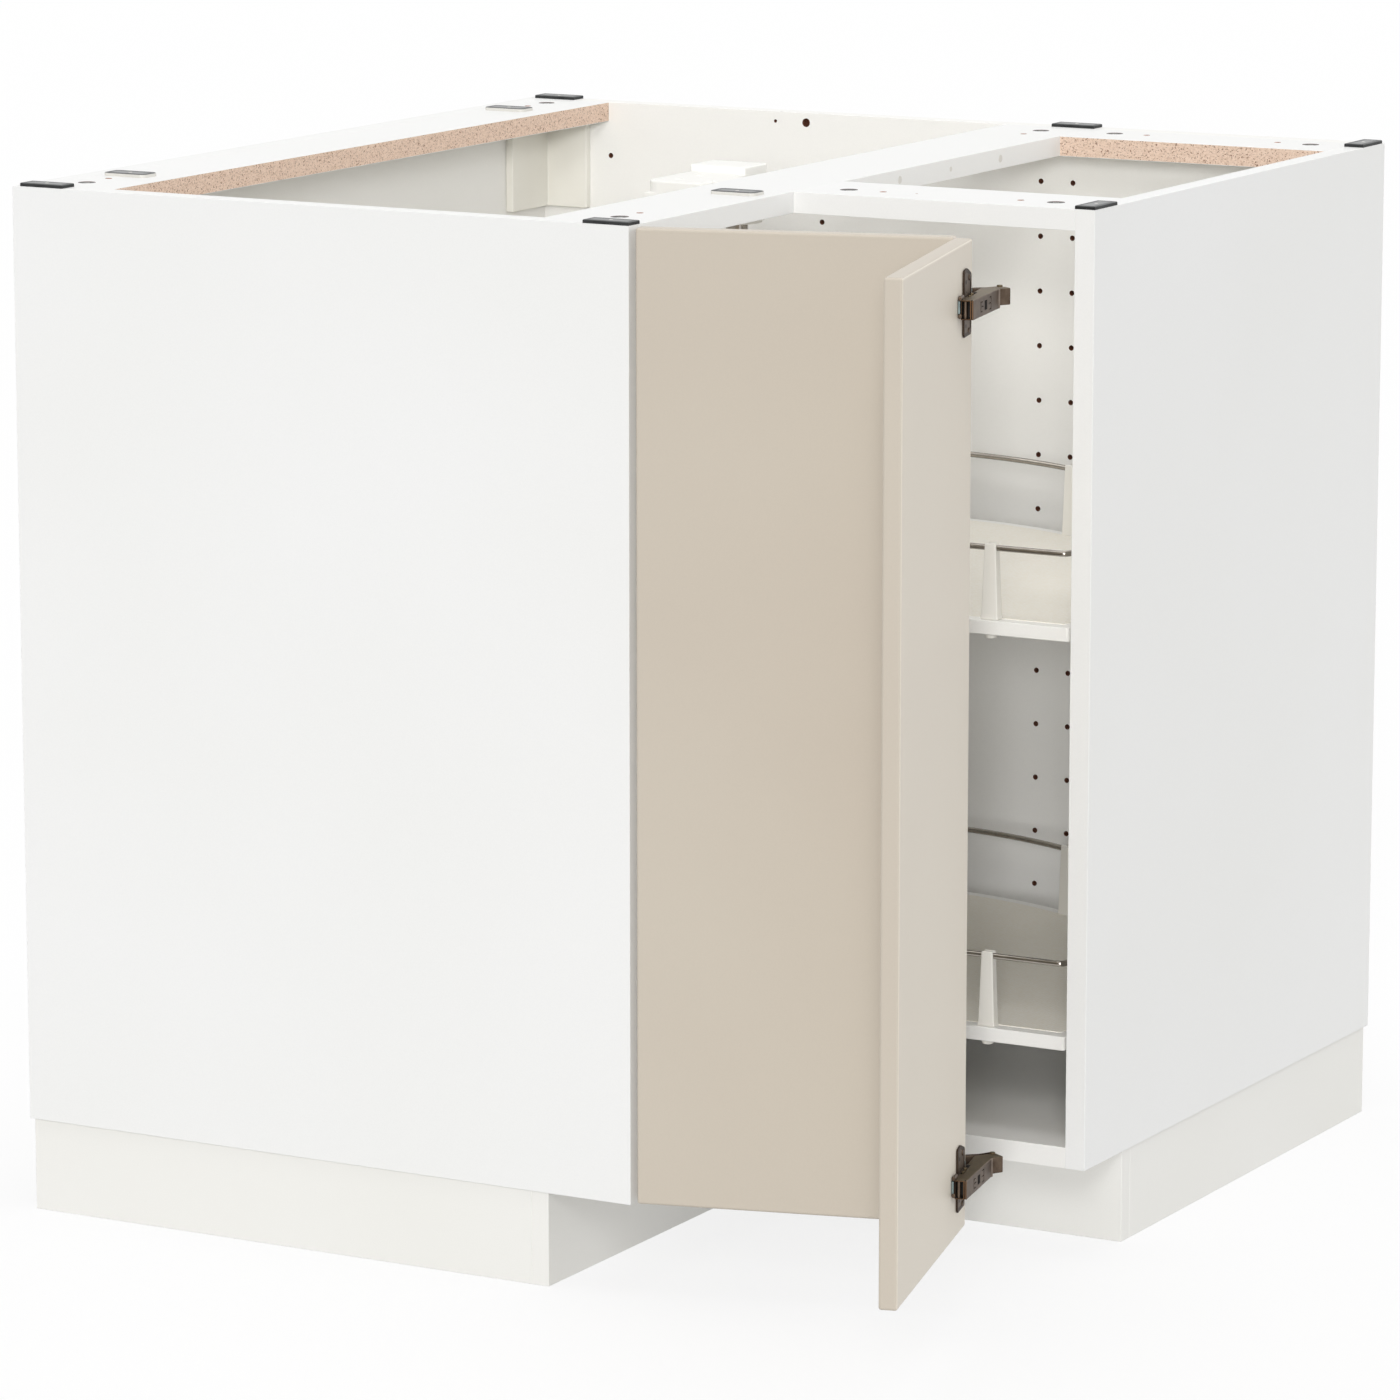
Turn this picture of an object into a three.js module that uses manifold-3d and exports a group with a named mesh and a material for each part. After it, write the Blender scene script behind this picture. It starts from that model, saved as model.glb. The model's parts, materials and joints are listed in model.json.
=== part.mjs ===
// Corner carousel cabinet: an L-shaped base unit with a folding pair of doors and two turning shelves.
//
// Millimetres, Z up. The carcass is laid out from its own corner: X runs along the left end panel,
// whose front face is Y = 0 and whose wall end is X = 0, Y runs back to the rear wall, and the floor
// is Z = 0. The plan is symmetric about the line X + Y = wallSide. The finished group is moved so that
// the carousel's axis meets the floor at the origin.

import * as THREE from "three";
import { mergeVertices } from "three/addons/utils/BufferGeometryUtils.js";
import Module from "manifold-3d";

const wasm = await Module();
wasm.setup();

// ---- Clearances ----
const fitGap = 0.3; // between pieces that fit one in the other, or that turn past each other
const wireGap = 0.5; // round the wire in a post's fork
const shelfClearance = 2; // from the turning shelves to the end panels

// ---- Carcass ----
const wallSide = 866; // each side that stands along a wall
const wingDepth = 590; // width of each end panel
const board = 18;
const plinthHeight = 80;
const carcassHeight = 800;
const middleRailWidth = 88;
const frontRailWidth = 88;
const leftRailWidth = 70;
const rearRailWidth = 70;
const angleThickness = 8;
const angleHeight = 82;
const angleRearLeg = 50;
const angleLeftLeg = 72;

const wallInner = wallSide - board;
const opening = wallSide - wingDepth; // front edge of the right end panel
const floorTop = plinthHeight + board;
const carcassTop = plinthHeight + carcassHeight;
const railBottom = carcassTop - board;

// ---- Rows of holes in the rear wall ----
const holeRadius = 2.5;
const holeDepth = 12;
const holeSides = 6;
const holePitch = 50;
const holeFirstRise = 100; // from the carcass's underside
const holeTopMargin = 45; // from the highest hole to the carcass top, at least
const holeColumns = [90, 314, 538, 570];

// ---- Plinth ----
const plinthThickness = 16;
const plinthInset = 3; // from the outer faces of the end panels
const toeRecess = 79;

// ---- Legs ----
const legInset = 70; // from the outer faces, or from the recessed boards' backs
const centreLegInset = 22; // from the inner corner of the plinth, both ways
const legFlangeRadius = 30;
const legFlangeThickness = 6;
const legStemRadius = 16;
const legFootRadius = 28;
const legFootHeight = 12;
const legSides = 12;

// ---- Pads that carry the worktop ----
const padLength = 42;
const padThickness = 3;
const padWidth = 22; // of the rounded pads, which lie on a rail or a broad top
const padRounding = 5;
const padCornerInset = 8;
const padRearInset = 6;
const padRoundedInset = 32; // centre line of the rounded pad on the middle rail, from the rail's edge
const padLeftInset = 44.5; // centre line of the rounded pads on the left rail, from the outer face
const padFrontDistance = 110;
const padRearDistance = 128;
const padMiddleDistance = 238;

// ---- Doors ----
const leafThickness = 15;
const leafGap = 2; // between a closed leaf and the carcass
const leafMargin = 1.5; // how far a leaf stays inside the carcass outline
const leafJointGap = 0.7; // between the two leaves
const leafRounding = 2.5;
const pivotInset = 7.5; // from the hinged end of leaf 1
const pivotDepth = 9; // from the inner face of leaf 1
const openAngle = 75; // degrees, how far the doors stand open

const leafOneInner = wingDepth + leafGap;
const leafOneOuter = leafOneInner + leafThickness;
const leafTwoInner = opening - leafGap;
const leafTwoOuter = leafTwoInner - leafThickness;
const leafOneEnd = leafTwoOuter - leafJointGap;
const leafTwoStart = leafOneOuter + leafJointGap;
const leafBottom = plinthHeight + leafMargin;
const leafTop = carcassTop - leafMargin;
const pivotX = leafOneInner + pivotDepth;
const pivotY = leafMargin + pivotInset;

// ---- Hinges ----
const hingeAboveFloor = 28; // from the carcass floor to the lower hinges' centre line
const hingeBelowRails = 33; // from the rails to the upper hinges' centre line
const cupRadius = 17.5;
const cupDepth = 12;
const cupInset = 22.5; // from a leaf's edge to the cup's centre
const cupSides = 24;
const hingePlateHeight = 50;
const hingePlateThickness = 2.5;
const hingePlateLength = 36;
const hingeArmHeight = 16;
const hingeArmReach = 14; // from the end panel's inner face
const hingeArmLength = 44;
const hingeNose = 1.4;
const hingeNoseDrop = 2.9;

const bifoldWingHeight = 48.5;
const bifoldWingPeak = 5; // how far the wing's free side stands above its joint side
const bifoldWingSlope = 11; // how far along the wing its top slopes up
const bifoldWingStart = 12; // from the leaf's edge to the wing
const bifoldWingWidth = 27;
const bifoldPlateThickness = 1.5;
const bifoldRailReach = 57.5; // from the leaf's edge to the end of the rail under the arm
const bifoldRailHeight = 14;
const bifoldArmHeight = 16;
const bifoldArmReach = 56.5; // from the leaf's edge to the arm's end
const bifoldArmDepth = 10.5;
const bifoldArmFlare = 5; // how much deeper the arm is past the joint
const bifoldArmBend = 18.5; // past the joint edge, where the arm turns off
const bifoldArmBack = 24; // past the joint edge, along its near side
const bifoldBlockLength = 11.5; // of the turned-off part, along its front
const bifoldBlockWidth = 13.5;
const linkThickness = 7;
const linkHeight = 14;

// ---- Carousel ----
const shelfThickness = 12;
const lowerShelfRise = 87.5; // from the carcass floor to the shelf's top
const upperShelfRise = 433;
const notchEdge = 93; // from the axis to each notch edge
const notchSetback = 24; // from the carcass opening to the notch edges
const shelfOuterRounding = 3;
const shelfInnerRounding = 6;
const arcStep = 5; // degrees, round the shelves
const wireRadius = 2.5;
const wireSides = 6;
const wireInset = 8; // from the shelf's edge to the wire's centre
const wireHeight = 60; // from the shelf's top to the wire's centre
const wireOuterBend = 12;
const wireInnerBend = 14;
const postBaseWidth = 15.5;
const postTopWidth = 10.5;
const postDepth = 9.5;
const postAboveWire = 4;
const postFromRim = 68; // along a notch edge, from the wire's bend at the rim
const postAngles = [64, 135, 206];
const pinRadius = 3;
const pinSides = 10;
const pinHoleSides = 16;
const capRadius = 6;
const capThickness = 3.5;
const poleRadius = 9.5;
const poleSides = 24;
const collarRadius = 15;
const collarHeight = 8;
const hubFlangeRadius = 45;
const hubFlangeThickness = 4;
const hubSleeveRadius = 16;
const hubSleeveAbove = 14;
const bearingFlangeRadius = 50;
const bearingFlangeThickness = 4;
const bearingBossRadius = 20;
const bearingBossHeight = 20;
const bearingFloor = 3; // under the pole's lower end

// The notch lines up with the opening, and the shelf just clears the end panels and the walls.
const axisY = opening + notchSetback + notchEdge;
const axisX = wallSide - axisY;
const shelfRadius = Math.min(axisY - board, wallInner - axisY) - shelfClearance;
const lowerShelfTop = floorTop + lowerShelfRise;
const upperShelfTop = floorTop + upperShelfRise;
const boreRadius = poleRadius + fitGap;

// ---- Top bearing bracket ----
const bracketThickness = 6;
const bracketUnderRail = 78; // how far it runs under the middle rail
const bracketPastAxis = 68;
const bracketHalfWidth = 40;
const bracketBossRadius = 22;
const bracketBossDrop = 26; // below the rails
const bracketCap = 4; // over the pole's upper end
const bracketBlockPastAxis = 14; // from the axis to the raised part's near side
const bracketFrontHeight = 10;
const bracketRearHeight = 16;
const bracketRearWidth = 40;
const bracketRounding = 14;
const bracketScrewRadius = 2.2;
const bracketScrewDepth = 5;
const bracketScrewSpacing = 36;
const bracketScrewInset = 22;
const screwSides = 8;

const finishes = {
  whiteBoard: { color: 0xf0f0ef, roughness: 0.45, metalness: 0 },
  plinthBoard: { color: 0xf1f0ec, roughness: 0.5, metalness: 0 },
  doorBoard: { color: 0xd4c9bb, roughness: 0.35, metalness: 0 },
  shelfBoard: { color: 0xf1efe9, roughness: 0.5, metalness: 0 },
  whitePlastic: { color: 0xeeede8, roughness: 0.4, metalness: 0 },
  blackPlastic: { color: 0x2b2b2d, roughness: 0.55, metalness: 0 },
  bronze: { color: 0x6e625a, roughness: 0.35, metalness: 0.8 },
  zinc: { color: 0x8f9092, roughness: 0.4, metalness: 0.9 },
  chrome: { color: 0xd8d9da, roughness: 0.12, metalness: 1 },
};

// ---- Building blocks ----

const cornerStep = 30; // degrees, round the small corners
const quarterTurn = 90;
const fullTurn = 4 * quarterTurn;

// A box between two limits along each axis. Neighbours that share a limit meet exactly.
function box(xs, ys, zs) {
  const geometry = new THREE.BoxGeometry(1, 1, 1);
  const corner = geometry.getAttribute("position");
  for (let i = 0; i < corner.count; i += 1) {
    const x = xs[corner.getX(i) > 0 ? 1 : 0];
    const y = ys[corner.getY(i) > 0 ? 1 : 0];
    const z = zs[corner.getZ(i) > 0 ? 1 : 0];
    corner.setXYZ(i, x, y, z);
  }
  return geometry;
}

// A plan outline carried up from one height to another.
function prism(outline, zs, holes = []) {
  const shape = new THREE.Shape(outline);
  shape.holes = holes.map((hole) => new THREE.Path(hole));
  const geometry = new THREE.ExtrudeGeometry(shape, { depth: 1, bevelEnabled: false });
  const corner = geometry.getAttribute("position");
  for (let i = 0; i < corner.count; i += 1) {
    corner.setZ(i, zs[corner.getZ(i) > 0.5 ? 1 : 0]);
  }
  return geometry;
}

// A body of revolution about Z, from its profile of [radius, height], going up on the outside.
function turned(profile, sides) {
  const points = profile.map(([radius, height]) => new THREE.Vector2(radius, height));
  return new THREE.LatheGeometry(points, sides).rotateX(Math.PI / 2);
}

function cylinder(radius, zs, sides) {
  return turned([[0, zs[0]], [radius, zs[0]], [radius, zs[1]], [0, zs[1]]], sides);
}

// A short cylinder along X.
function drum(radius, xs, y, z, sides) {
  return cylinder(radius, [0, xs[1] - xs[0]], sides).rotateY(Math.PI / 2).translate(xs[0], y, z);
}

// Points round part of a circle, angles in degrees, either way round.
function arc(x, y, radius, from, to, step = cornerStep) {
  const steps = Math.max(2, Math.ceil(Math.abs(to - from) / step));
  const points = [];
  for (let i = 0; i <= steps; i += 1) {
    const angle = THREE.MathUtils.degToRad(from + ((to - from) * i) / steps);
    points.push(new THREE.Vector2(x + radius * Math.cos(angle), y + radius * Math.sin(angle)));
  }
  return points;
}

function circle(x, y, radius, sides) {
  return arc(x, y, radius, 0, fullTurn, fullTurn / sides).slice(1);
}

function roundedRectangle(xs, ys, radius) {
  return [
    ...arc(xs[1] - radius, ys[0] + radius, radius, -quarterTurn, 0),
    ...arc(xs[1] - radius, ys[1] - radius, radius, 0, quarterTurn),
    ...arc(xs[0] + radius, ys[1] - radius, radius, quarterTurn, 2 * quarterTurn),
    ...arc(xs[0] + radius, ys[0] + radius, radius, 2 * quarterTurn, 3 * quarterTurn),
  ];
}

function solid(geometry) {
  const bare = geometry.clone();
  bare.deleteAttribute("normal");
  bare.deleteAttribute("uv");
  const merged = mergeVertices(bare);
  const mesh = new wasm.Mesh({
    numProp: 3,
    vertProperties: merged.getAttribute("position").array,
    triVerts: new Uint32Array(merged.index.array),
  });
  return new wasm.Manifold(mesh);
}

function fromSolid(made) {
  const mesh = made.getMesh();
  const geometry = new THREE.BufferGeometry();
  geometry.setAttribute("position", new THREE.BufferAttribute(new Float32Array(mesh.vertProperties), 3));
  geometry.setIndex(new THREE.BufferAttribute(new Uint32Array(mesh.triVerts), 1));
  geometry.computeVertexNormals();
  return geometry;
}

function join(first, ...others) {
  return fromSolid(others.reduce((made, other) => made.add(solid(other)), solid(first)));
}

function cut(first, ...tools) {
  return fromSolid(tools.reduce((made, tool) => made.subtract(solid(tool)), solid(first)));
}

function piece(parent, name, finish, geometry) {
  const mesh = new THREE.Mesh(geometry, new THREE.MeshStandardMaterial(finishes[finish]));
  mesh.name = name;
  parent.add(mesh);
  return mesh;
}

// ---- Carcass ----

function bottomPanelGeometry() {
  const outline = [
    new THREE.Vector2(board, board),
    new THREE.Vector2(wingDepth, board),
    new THREE.Vector2(wingDepth, opening),
    new THREE.Vector2(wallInner, opening),
    new THREE.Vector2(wallInner, wallInner),
    new THREE.Vector2(board, wallInner),
  ];
  return prism(outline, [plinthHeight, floorTop]);
}

function rearWallGeometry() {
  let wall = solid(box([board, wallInner], [wallInner, wallSide], [plinthHeight, carcassTop]));
  const blank = cylinder(holeRadius, [0, holeDepth], holeSides).rotateX(-Math.PI / 2);
  for (const x of holeColumns) {
    for (let z = plinthHeight + holeFirstRise; z <= carcassTop - holeTopMargin; z += holePitch) {
      wall = wall.subtract(solid(blank.clone().translate(x, wallInner, z)));
    }
  }
  return fromSolid(wall);
}

function addBoards(carcass) {
  const walls = [plinthHeight, carcassTop];
  const rails = [railBottom, carcassTop];
  const add = (name, xs, ys, zs) => piece(carcass, name, "whiteBoard", box(xs, ys, zs));
  add("left_end_panel", [0, wingDepth], [0, board], walls);
  add("right_end_panel", [wallInner, wallSide], [opening, wallSide], walls);
  add("left_wall_panel", [0, board], [board, wallSide], walls);
  add("rail_left", [board, board + leftRailWidth], [board, wallInner], rails);
  add("rail_middle", [wingDepth - middleRailWidth, wingDepth], [board, wallInner], rails);
  add("rail_front", [wingDepth, wallInner], [opening, opening + frontRailWidth], rails);
  add("rail_rear", [wingDepth, wallInner], [wallInner - rearRailWidth, wallInner], rails);
  piece(carcass, "rear_wall_panel", "whiteBoard", rearWallGeometry());
  piece(carcass, "bottom_panel", "whiteBoard", bottomPanelGeometry());
}

function addCornerAngle(carcass) {
  const outline = [
    new THREE.Vector2(board, wallInner),
    new THREE.Vector2(board, wallInner - angleLeftLeg),
    new THREE.Vector2(board + angleThickness, wallInner - angleLeftLeg),
    new THREE.Vector2(board + angleThickness, wallInner - angleThickness),
    new THREE.Vector2(board + angleRearLeg, wallInner - angleThickness),
    new THREE.Vector2(board + angleRearLeg, wallInner),
  ];
  piece(carcass, "corner_angle", "whitePlastic", prism(outline, [railBottom - angleHeight, railBottom]));
}

// The plinth follows the outer faces closely and steps back under the doors.
const plinthSideX = wingDepth - toeRecess;
const plinthFrontY = opening + toeRecess;
const innerCorner = new THREE.Vector2(plinthSideX - plinthThickness, plinthFrontY + plinthThickness);

function addPlinth(carcass) {
  const heights = [0, plinthHeight];
  const innerX = innerCorner.x;
  const innerY = innerCorner.y;
  const rightX = wallSide - plinthInset;
  const front = [plinthInset, plinthInset + plinthThickness];
  const add = (name, xs, ys) => piece(carcass, name, "plinthBoard", box(xs, ys, heights));
  add("plinth_front", [plinthInset, innerX], front);
  add("plinth_inner_side", [innerX, plinthSideX], [plinthInset, innerY]);
  add("plinth_recessed_front", [plinthSideX, rightX], [plinthFrontY, innerY]);
  add("plinth_right_side", [rightX - plinthThickness, rightX], [innerY, wallSide - plinthInset]);
}

function legGeometry() {
  const flangeBottom = plinthHeight - legFlangeThickness;
  const profile = [
    [0, 0],
    [legFootRadius, 0],
    [legFootRadius, legFootHeight],
    [legStemRadius, legFootHeight],
    [legStemRadius, flangeBottom],
    [legFlangeRadius, flangeBottom],
    [legFlangeRadius, plinthHeight],
    [0, plinthHeight],
  ];
  return turned(profile, legSides);
}

function addLegs(carcass) {
  const far = wallSide - legInset;
  const places = {
    leg_front_left: [legInset, legInset],
    leg_front_inner: [innerCorner.x - legInset, legInset],
    leg_rear_left: [legInset, far],
    leg_rear_right: [far, far],
    leg_front_right: [far, innerCorner.y + legInset],
    leg_centre: [innerCorner.x - centreLegInset, innerCorner.y + centreLegInset],
  };
  for (const [name, [x, y]] of Object.entries(places)) {
    piece(carcass, name, "blackPlastic", legGeometry()).position.set(x, y, 0);
  }
}

function addWorktopPads(carcass) {
  const heights = [0, padThickness];
  const alongX = () => box([0, padLength], [0, board], heights);
  const alongY = () => box([0, board], [0, padLength], heights);
  const middle = (size) => [-size / 2, size / 2];
  const rounded = () => {
    const outline = roundedRectangle(middle(padLength), middle(padWidth), padRounding);
    return prism(outline, heights);
  };
  const pads = [
    [alongX, padCornerInset, 0],
    [rounded, padLeftInset, padFrontDistance],
    [rounded, padLeftInset, wallSide - padRearDistance],
    [alongX, padCornerInset, wallInner],
    [alongX, wingDepth - padLength, 0],
    [rounded, wingDepth - padRoundedInset, padMiddleDistance],
    [alongX, wingDepth - padLength, wallInner],
    [alongY, wallInner, opening],
    [alongY, wallInner, wallSide - padRearInset - padLength],
  ];
  pads.forEach(([shape, x, y], i) => {
    piece(carcass, "worktop_pad_" + (i + 1), "zinc", shape()).position.set(x, y, carcassTop);
  });
}

// ---- Doors ----

const hingeHeights = { lower: floorTop + hingeAboveFloor, upper: railBottom - hingeBelowRails };

function cupBore(inner, y, z) {
  return drum(cupRadius + fitGap, [inner - fitGap, inner + cupDepth + fitGap], y, z, cupSides);
}

function leafOneGeometry() {
  const outline = roundedRectangle([leafOneInner, leafOneOuter], [leafMargin, leafOneEnd], leafRounding);
  const bores = [];
  for (const z of Object.values(hingeHeights)) {
    bores.push(cupBore(leafOneInner, leafMargin + cupInset, z));
    bores.push(cupBore(leafOneInner, leafOneEnd - cupInset, z));
  }
  return cut(prism(outline, [leafBottom, leafTop]), ...bores);
}

function leafTwoGeometry() {
  const width = [leafTwoStart, wallSide - leafMargin];
  return prism(roundedRectangle(width, [leafTwoOuter, leafTwoInner], leafRounding), [leafBottom, leafTop]);
}

// The arm stands on the end panel's inner face. Its nose stops just short of the door leaf.
function cabinetHingeArmGeometry(z) {
  const noseEnd = leafOneInner - fitGap;
  const noseStart = noseEnd - hingeNose;
  const armStart = noseEnd - hingeArmLength;
  const armSide = board + hingeArmReach;
  const arm = prism(
    [
      new THREE.Vector2(armStart, board),
      new THREE.Vector2(noseStart, board),
      new THREE.Vector2(noseStart, board - hingeNoseDrop),
      new THREE.Vector2(noseEnd, board - hingeNoseDrop),
      new THREE.Vector2(noseEnd, armSide),
      new THREE.Vector2(armStart, armSide),
    ],
    [z - hingeArmHeight / 2, z + hingeArmHeight / 2],
  );
  const plate = box(
    [armStart - hingePlateThickness, armStart + hingePlateLength],
    [board, board + hingePlateThickness],
    [z - hingePlateHeight / 2, z + hingePlateHeight / 2],
  );
  return join(arm, plate);
}

function cabinetHingeCupGeometry(z) {
  return drum(cupRadius, [leafOneInner, leafOneInner + cupDepth], leafMargin + cupInset, z, cupSides);
}

const bifoldPlateFace = leafTwoInner + fitGap;
const bifoldArmFace = bifoldPlateFace + bifoldPlateThickness + fitGap;
const bifoldArmEnd = leafTwoStart + bifoldArmReach;
const bifoldCupY = leafOneEnd - cupInset;

// The wing is upright on leaf 2, and the rail lies across it under the arm.
function bifoldPlateGeometry(z) {
  const start = leafTwoStart + bifoldWingStart;
  const end = start + bifoldWingWidth;
  const foot = z - bifoldWingHeight / 2;
  const shoulder = z + bifoldWingHeight / 2;
  const outline = [
    new THREE.Vector2(start, foot),
    new THREE.Vector2(end, foot),
    new THREE.Vector2(end, shoulder + bifoldWingPeak),
    new THREE.Vector2(start + bifoldWingSlope, shoulder + bifoldWingPeak),
    new THREE.Vector2(start, shoulder),
  ];
  const wing = prism(outline, [0, bifoldPlateThickness]);
  wing.rotateX(Math.PI / 2).translate(0, bifoldPlateFace + bifoldPlateThickness, 0);
  const rail = box(
    [leafTwoStart + leafRounding, leafTwoStart + bifoldRailReach],
    [bifoldPlateFace, bifoldPlateFace + bifoldPlateThickness],
    [z - bifoldRailHeight / 2, z + bifoldRailHeight / 2],
  );
  return join(wing, rail);
}

// The corners of the arm's turned-off end, which lies at 45 degrees: its front face from first to
// second, its far side from second to third, and its back from third to fourth.
function bifoldBlockCorners() {
  const slant = Math.SQRT1_2;
  const first = new THREE.Vector2(
    leafTwoStart - bifoldArmBend,
    bifoldArmFace + bifoldArmDepth + bifoldArmFlare,
  );
  const along = new THREE.Vector2(-slant, slant);
  const across = new THREE.Vector2(-slant, -slant);
  const second = first.clone().addScaledVector(along, bifoldBlockLength);
  const third = second.clone().addScaledVector(across, bifoldBlockWidth);
  const fourth = first.clone().addScaledVector(across, bifoldBlockWidth);
  return [first, second, third, fourth];
}

// The arm lies along leaf 2, over its rail, and reaches past the joint behind leaf 1.
function bifoldArmGeometry(z) {
  const outline = [
    new THREE.Vector2(leafTwoStart - bifoldArmBack, bifoldArmFace),
    new THREE.Vector2(bifoldArmEnd, bifoldArmFace),
    new THREE.Vector2(bifoldArmEnd, bifoldArmFace + bifoldArmDepth),
    ...bifoldBlockCorners(),
  ];
  return prism(outline, [z - bifoldArmHeight / 2, z + bifoldArmHeight / 2]);
}

// The cup in leaf 1, with the link that runs from it along the back of the arm's turned-off end.
function bifoldCupGeometry(z) {
  const slant = Math.SQRT1_2;
  const [, , third, fourth] = bifoldBlockCorners();
  const near = new THREE.Vector2(-slant, -slant).multiplyScalar(fitGap);
  const far = near.clone().setLength(fitGap + linkThickness);
  const mouth = leafOneInner - fitGap;
  const inner = leafOneInner + cupDepth / 2;
  const knee = bifoldCupY + cupRadius;
  const cup = drum(cupRadius, [leafOneInner, leafOneInner + cupDepth], bifoldCupY, z, cupSides);
  const outline = [
    new THREE.Vector2(inner, bifoldCupY - linkThickness / 2),
    new THREE.Vector2(inner, bifoldCupY + linkThickness / 2),
    new THREE.Vector2(mouth, bifoldCupY + linkThickness / 2),
    new THREE.Vector2(mouth, knee),
    fourth.clone().add(near),
    third.clone().add(near),
    third.clone().add(far),
    fourth.clone().add(far),
    new THREE.Vector2(mouth - linkThickness, knee),
    new THREE.Vector2(mouth - linkThickness, bifoldCupY - linkThickness / 2),
  ];
  return join(cup, prism(outline, [z - linkHeight / 2, z + linkHeight / 2]));
}

// The leaves are laid out closed, then swung open about the hinge line.
function addDoors(parent) {
  const swung = new THREE.Group();
  swung.position.set(pivotX, pivotY, 0);
  swung.rotation.z = -THREE.MathUtils.degToRad(openAngle);
  const closed = new THREE.Group();
  closed.position.set(-pivotX, -pivotY, 0);
  swung.add(closed);
  parent.add(swung);
  piece(closed, "door_leaf_1", "doorBoard", leafOneGeometry());
  piece(closed, "door_leaf_2", "doorBoard", leafTwoGeometry());
  for (const [height, z] of Object.entries(hingeHeights)) {
    piece(parent, "cabinet_hinge_arm_" + height, "zinc", cabinetHingeArmGeometry(z));
    piece(closed, "cabinet_hinge_cup_" + height, "zinc", cabinetHingeCupGeometry(z));
    piece(closed, "bifold_hinge_plate_" + height, "bronze", bifoldPlateGeometry(z));
    piece(closed, "bifold_hinge_arm_" + height, "bronze", bifoldArmGeometry(z));
    piece(closed, "bifold_hinge_cup_" + height, "zinc", bifoldCupGeometry(z));
  }
}

// ---- Carousel, laid out about its own axis ----

// The outline of a shelf, or of the wire above it, which runs inside it by an inset. The quarter
// towards the room corner is cut away, and its three corners are rounded.
function carouselOutline(inset, outerRadius, innerRadius) {
  const reach = shelfRadius - inset;
  const edge = notchEdge - inset;
  const across = edge - outerRadius;
  const along = Math.sqrt((reach - outerRadius) ** 2 - across ** 2);
  const first = -THREE.MathUtils.radToDeg(Math.atan2(across, along));
  const last = fullTurn - quarterTurn - first;
  return [
    ...arc(along, -across, outerRadius, -quarterTurn, first),
    ...arc(0, 0, reach, first, last, arcStep).slice(1, -1),
    ...arc(across, -along, outerRadius, last, fullTurn),
    ...arc(edge + innerRadius, -edge - innerRadius, innerRadius, 2 * quarterTurn, quarterTurn),
  ];
}

// Where the posts stand round a shelf: place and direction of the wire there.
function postPlaces() {
  const edge = notchEdge - wireInset;
  const reach = shelfRadius - wireInset;
  const onNotch = Math.sqrt(reach ** 2 - edge ** 2) - postFromRim;
  const onArc = postAngles.map((angle) => {
    const turn = THREE.MathUtils.degToRad(angle);
    return { x: reach * Math.cos(turn), y: reach * Math.sin(turn), turn: turn + Math.PI / 2 };
  });
  return [
    { x: onNotch, y: -edge, turn: 0 },
    ...onArc,
    { x: edge, y: -onNotch, turn: Math.PI / 2 },
  ];
}

function shelfGeometry(top) {
  const holes = postPlaces().map(({ x, y }) => circle(x, y, pinRadius + fitGap, pinHoleSides));
  holes.push(circle(0, 0, hubSleeveRadius + fitGap, poleSides));
  const outline = carouselOutline(0, shelfOuterRounding, shelfInnerRounding);
  return prism(outline, [top - shelfThickness, top], holes);
}

// A closed loop of wire: one ring of points at each point of its path, square to the path there.
function wireLoopGeometry(z) {
  const path = carouselOutline(wireInset, wireOuterBend, wireInnerBend);
  const corners = [];
  const faces = [];
  path.forEach((point, i) => {
    const before = path[(i + path.length - 1) % path.length];
    const after = path[(i + 1) % path.length];
    const heading = after.clone().sub(before).normalize();
    for (let j = 0; j < wireSides; j += 1) {
      const angle = (2 * Math.PI * j) / wireSides;
      const out = wireRadius * Math.cos(angle);
      corners.push(point.x + heading.y * out, point.y - heading.x * out, z + wireRadius * Math.sin(angle));
      const a = i * wireSides + j;
      const b = i * wireSides + ((j + 1) % wireSides);
      const c = (a + wireSides) % (path.length * wireSides);
      const d = (b + wireSides) % (path.length * wireSides);
      faces.push(a, c, b, b, c, d);
    }
  });
  const geometry = new THREE.BufferGeometry();
  geometry.setAttribute("position", new THREE.Float32BufferAttribute(corners, 3));
  geometry.setIndex(faces);
  geometry.computeVertexNormals();
  return geometry;
}

// A tapered post with a fork for the wire, and a pin through the shelf that ends in a cap.
function postGeometry() {
  const top = wireHeight + postAboveWire;
  const outline = [
    new THREE.Vector2(-postBaseWidth / 2, 0),
    new THREE.Vector2(postBaseWidth / 2, 0),
    new THREE.Vector2(postTopWidth / 2, top),
    new THREE.Vector2(-postTopWidth / 2, top),
  ];
  const upright = prism(outline, [-postDepth / 2, postDepth / 2]).rotateX(Math.PI / 2);
  const slot = wireRadius + wireGap;
  const fork = box([-postBaseWidth, postBaseWidth], [-slot, slot], [wireHeight - slot, top + slot]);
  const capTop = -shelfThickness - fitGap;
  const pin = turned(
    [
      [0, capTop - capThickness],
      [capRadius, capTop - capThickness],
      [capRadius, capTop],
      [pinRadius, capTop],
      [pinRadius, capThickness],
      [0, capThickness],
    ],
    pinSides,
  );
  return join(cut(upright, fork), pin);
}

function hubGeometry() {
  const bottom = -shelfThickness - hubFlangeThickness;
  const profile = [
    [boreRadius, bottom],
    [hubFlangeRadius, bottom],
    [hubFlangeRadius, -shelfThickness],
    [hubSleeveRadius, -shelfThickness],
    [hubSleeveRadius, hubSleeveAbove],
    [boreRadius, hubSleeveAbove],
    [boreRadius, bottom],
  ];
  return turned(profile, poleSides);
}

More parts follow.
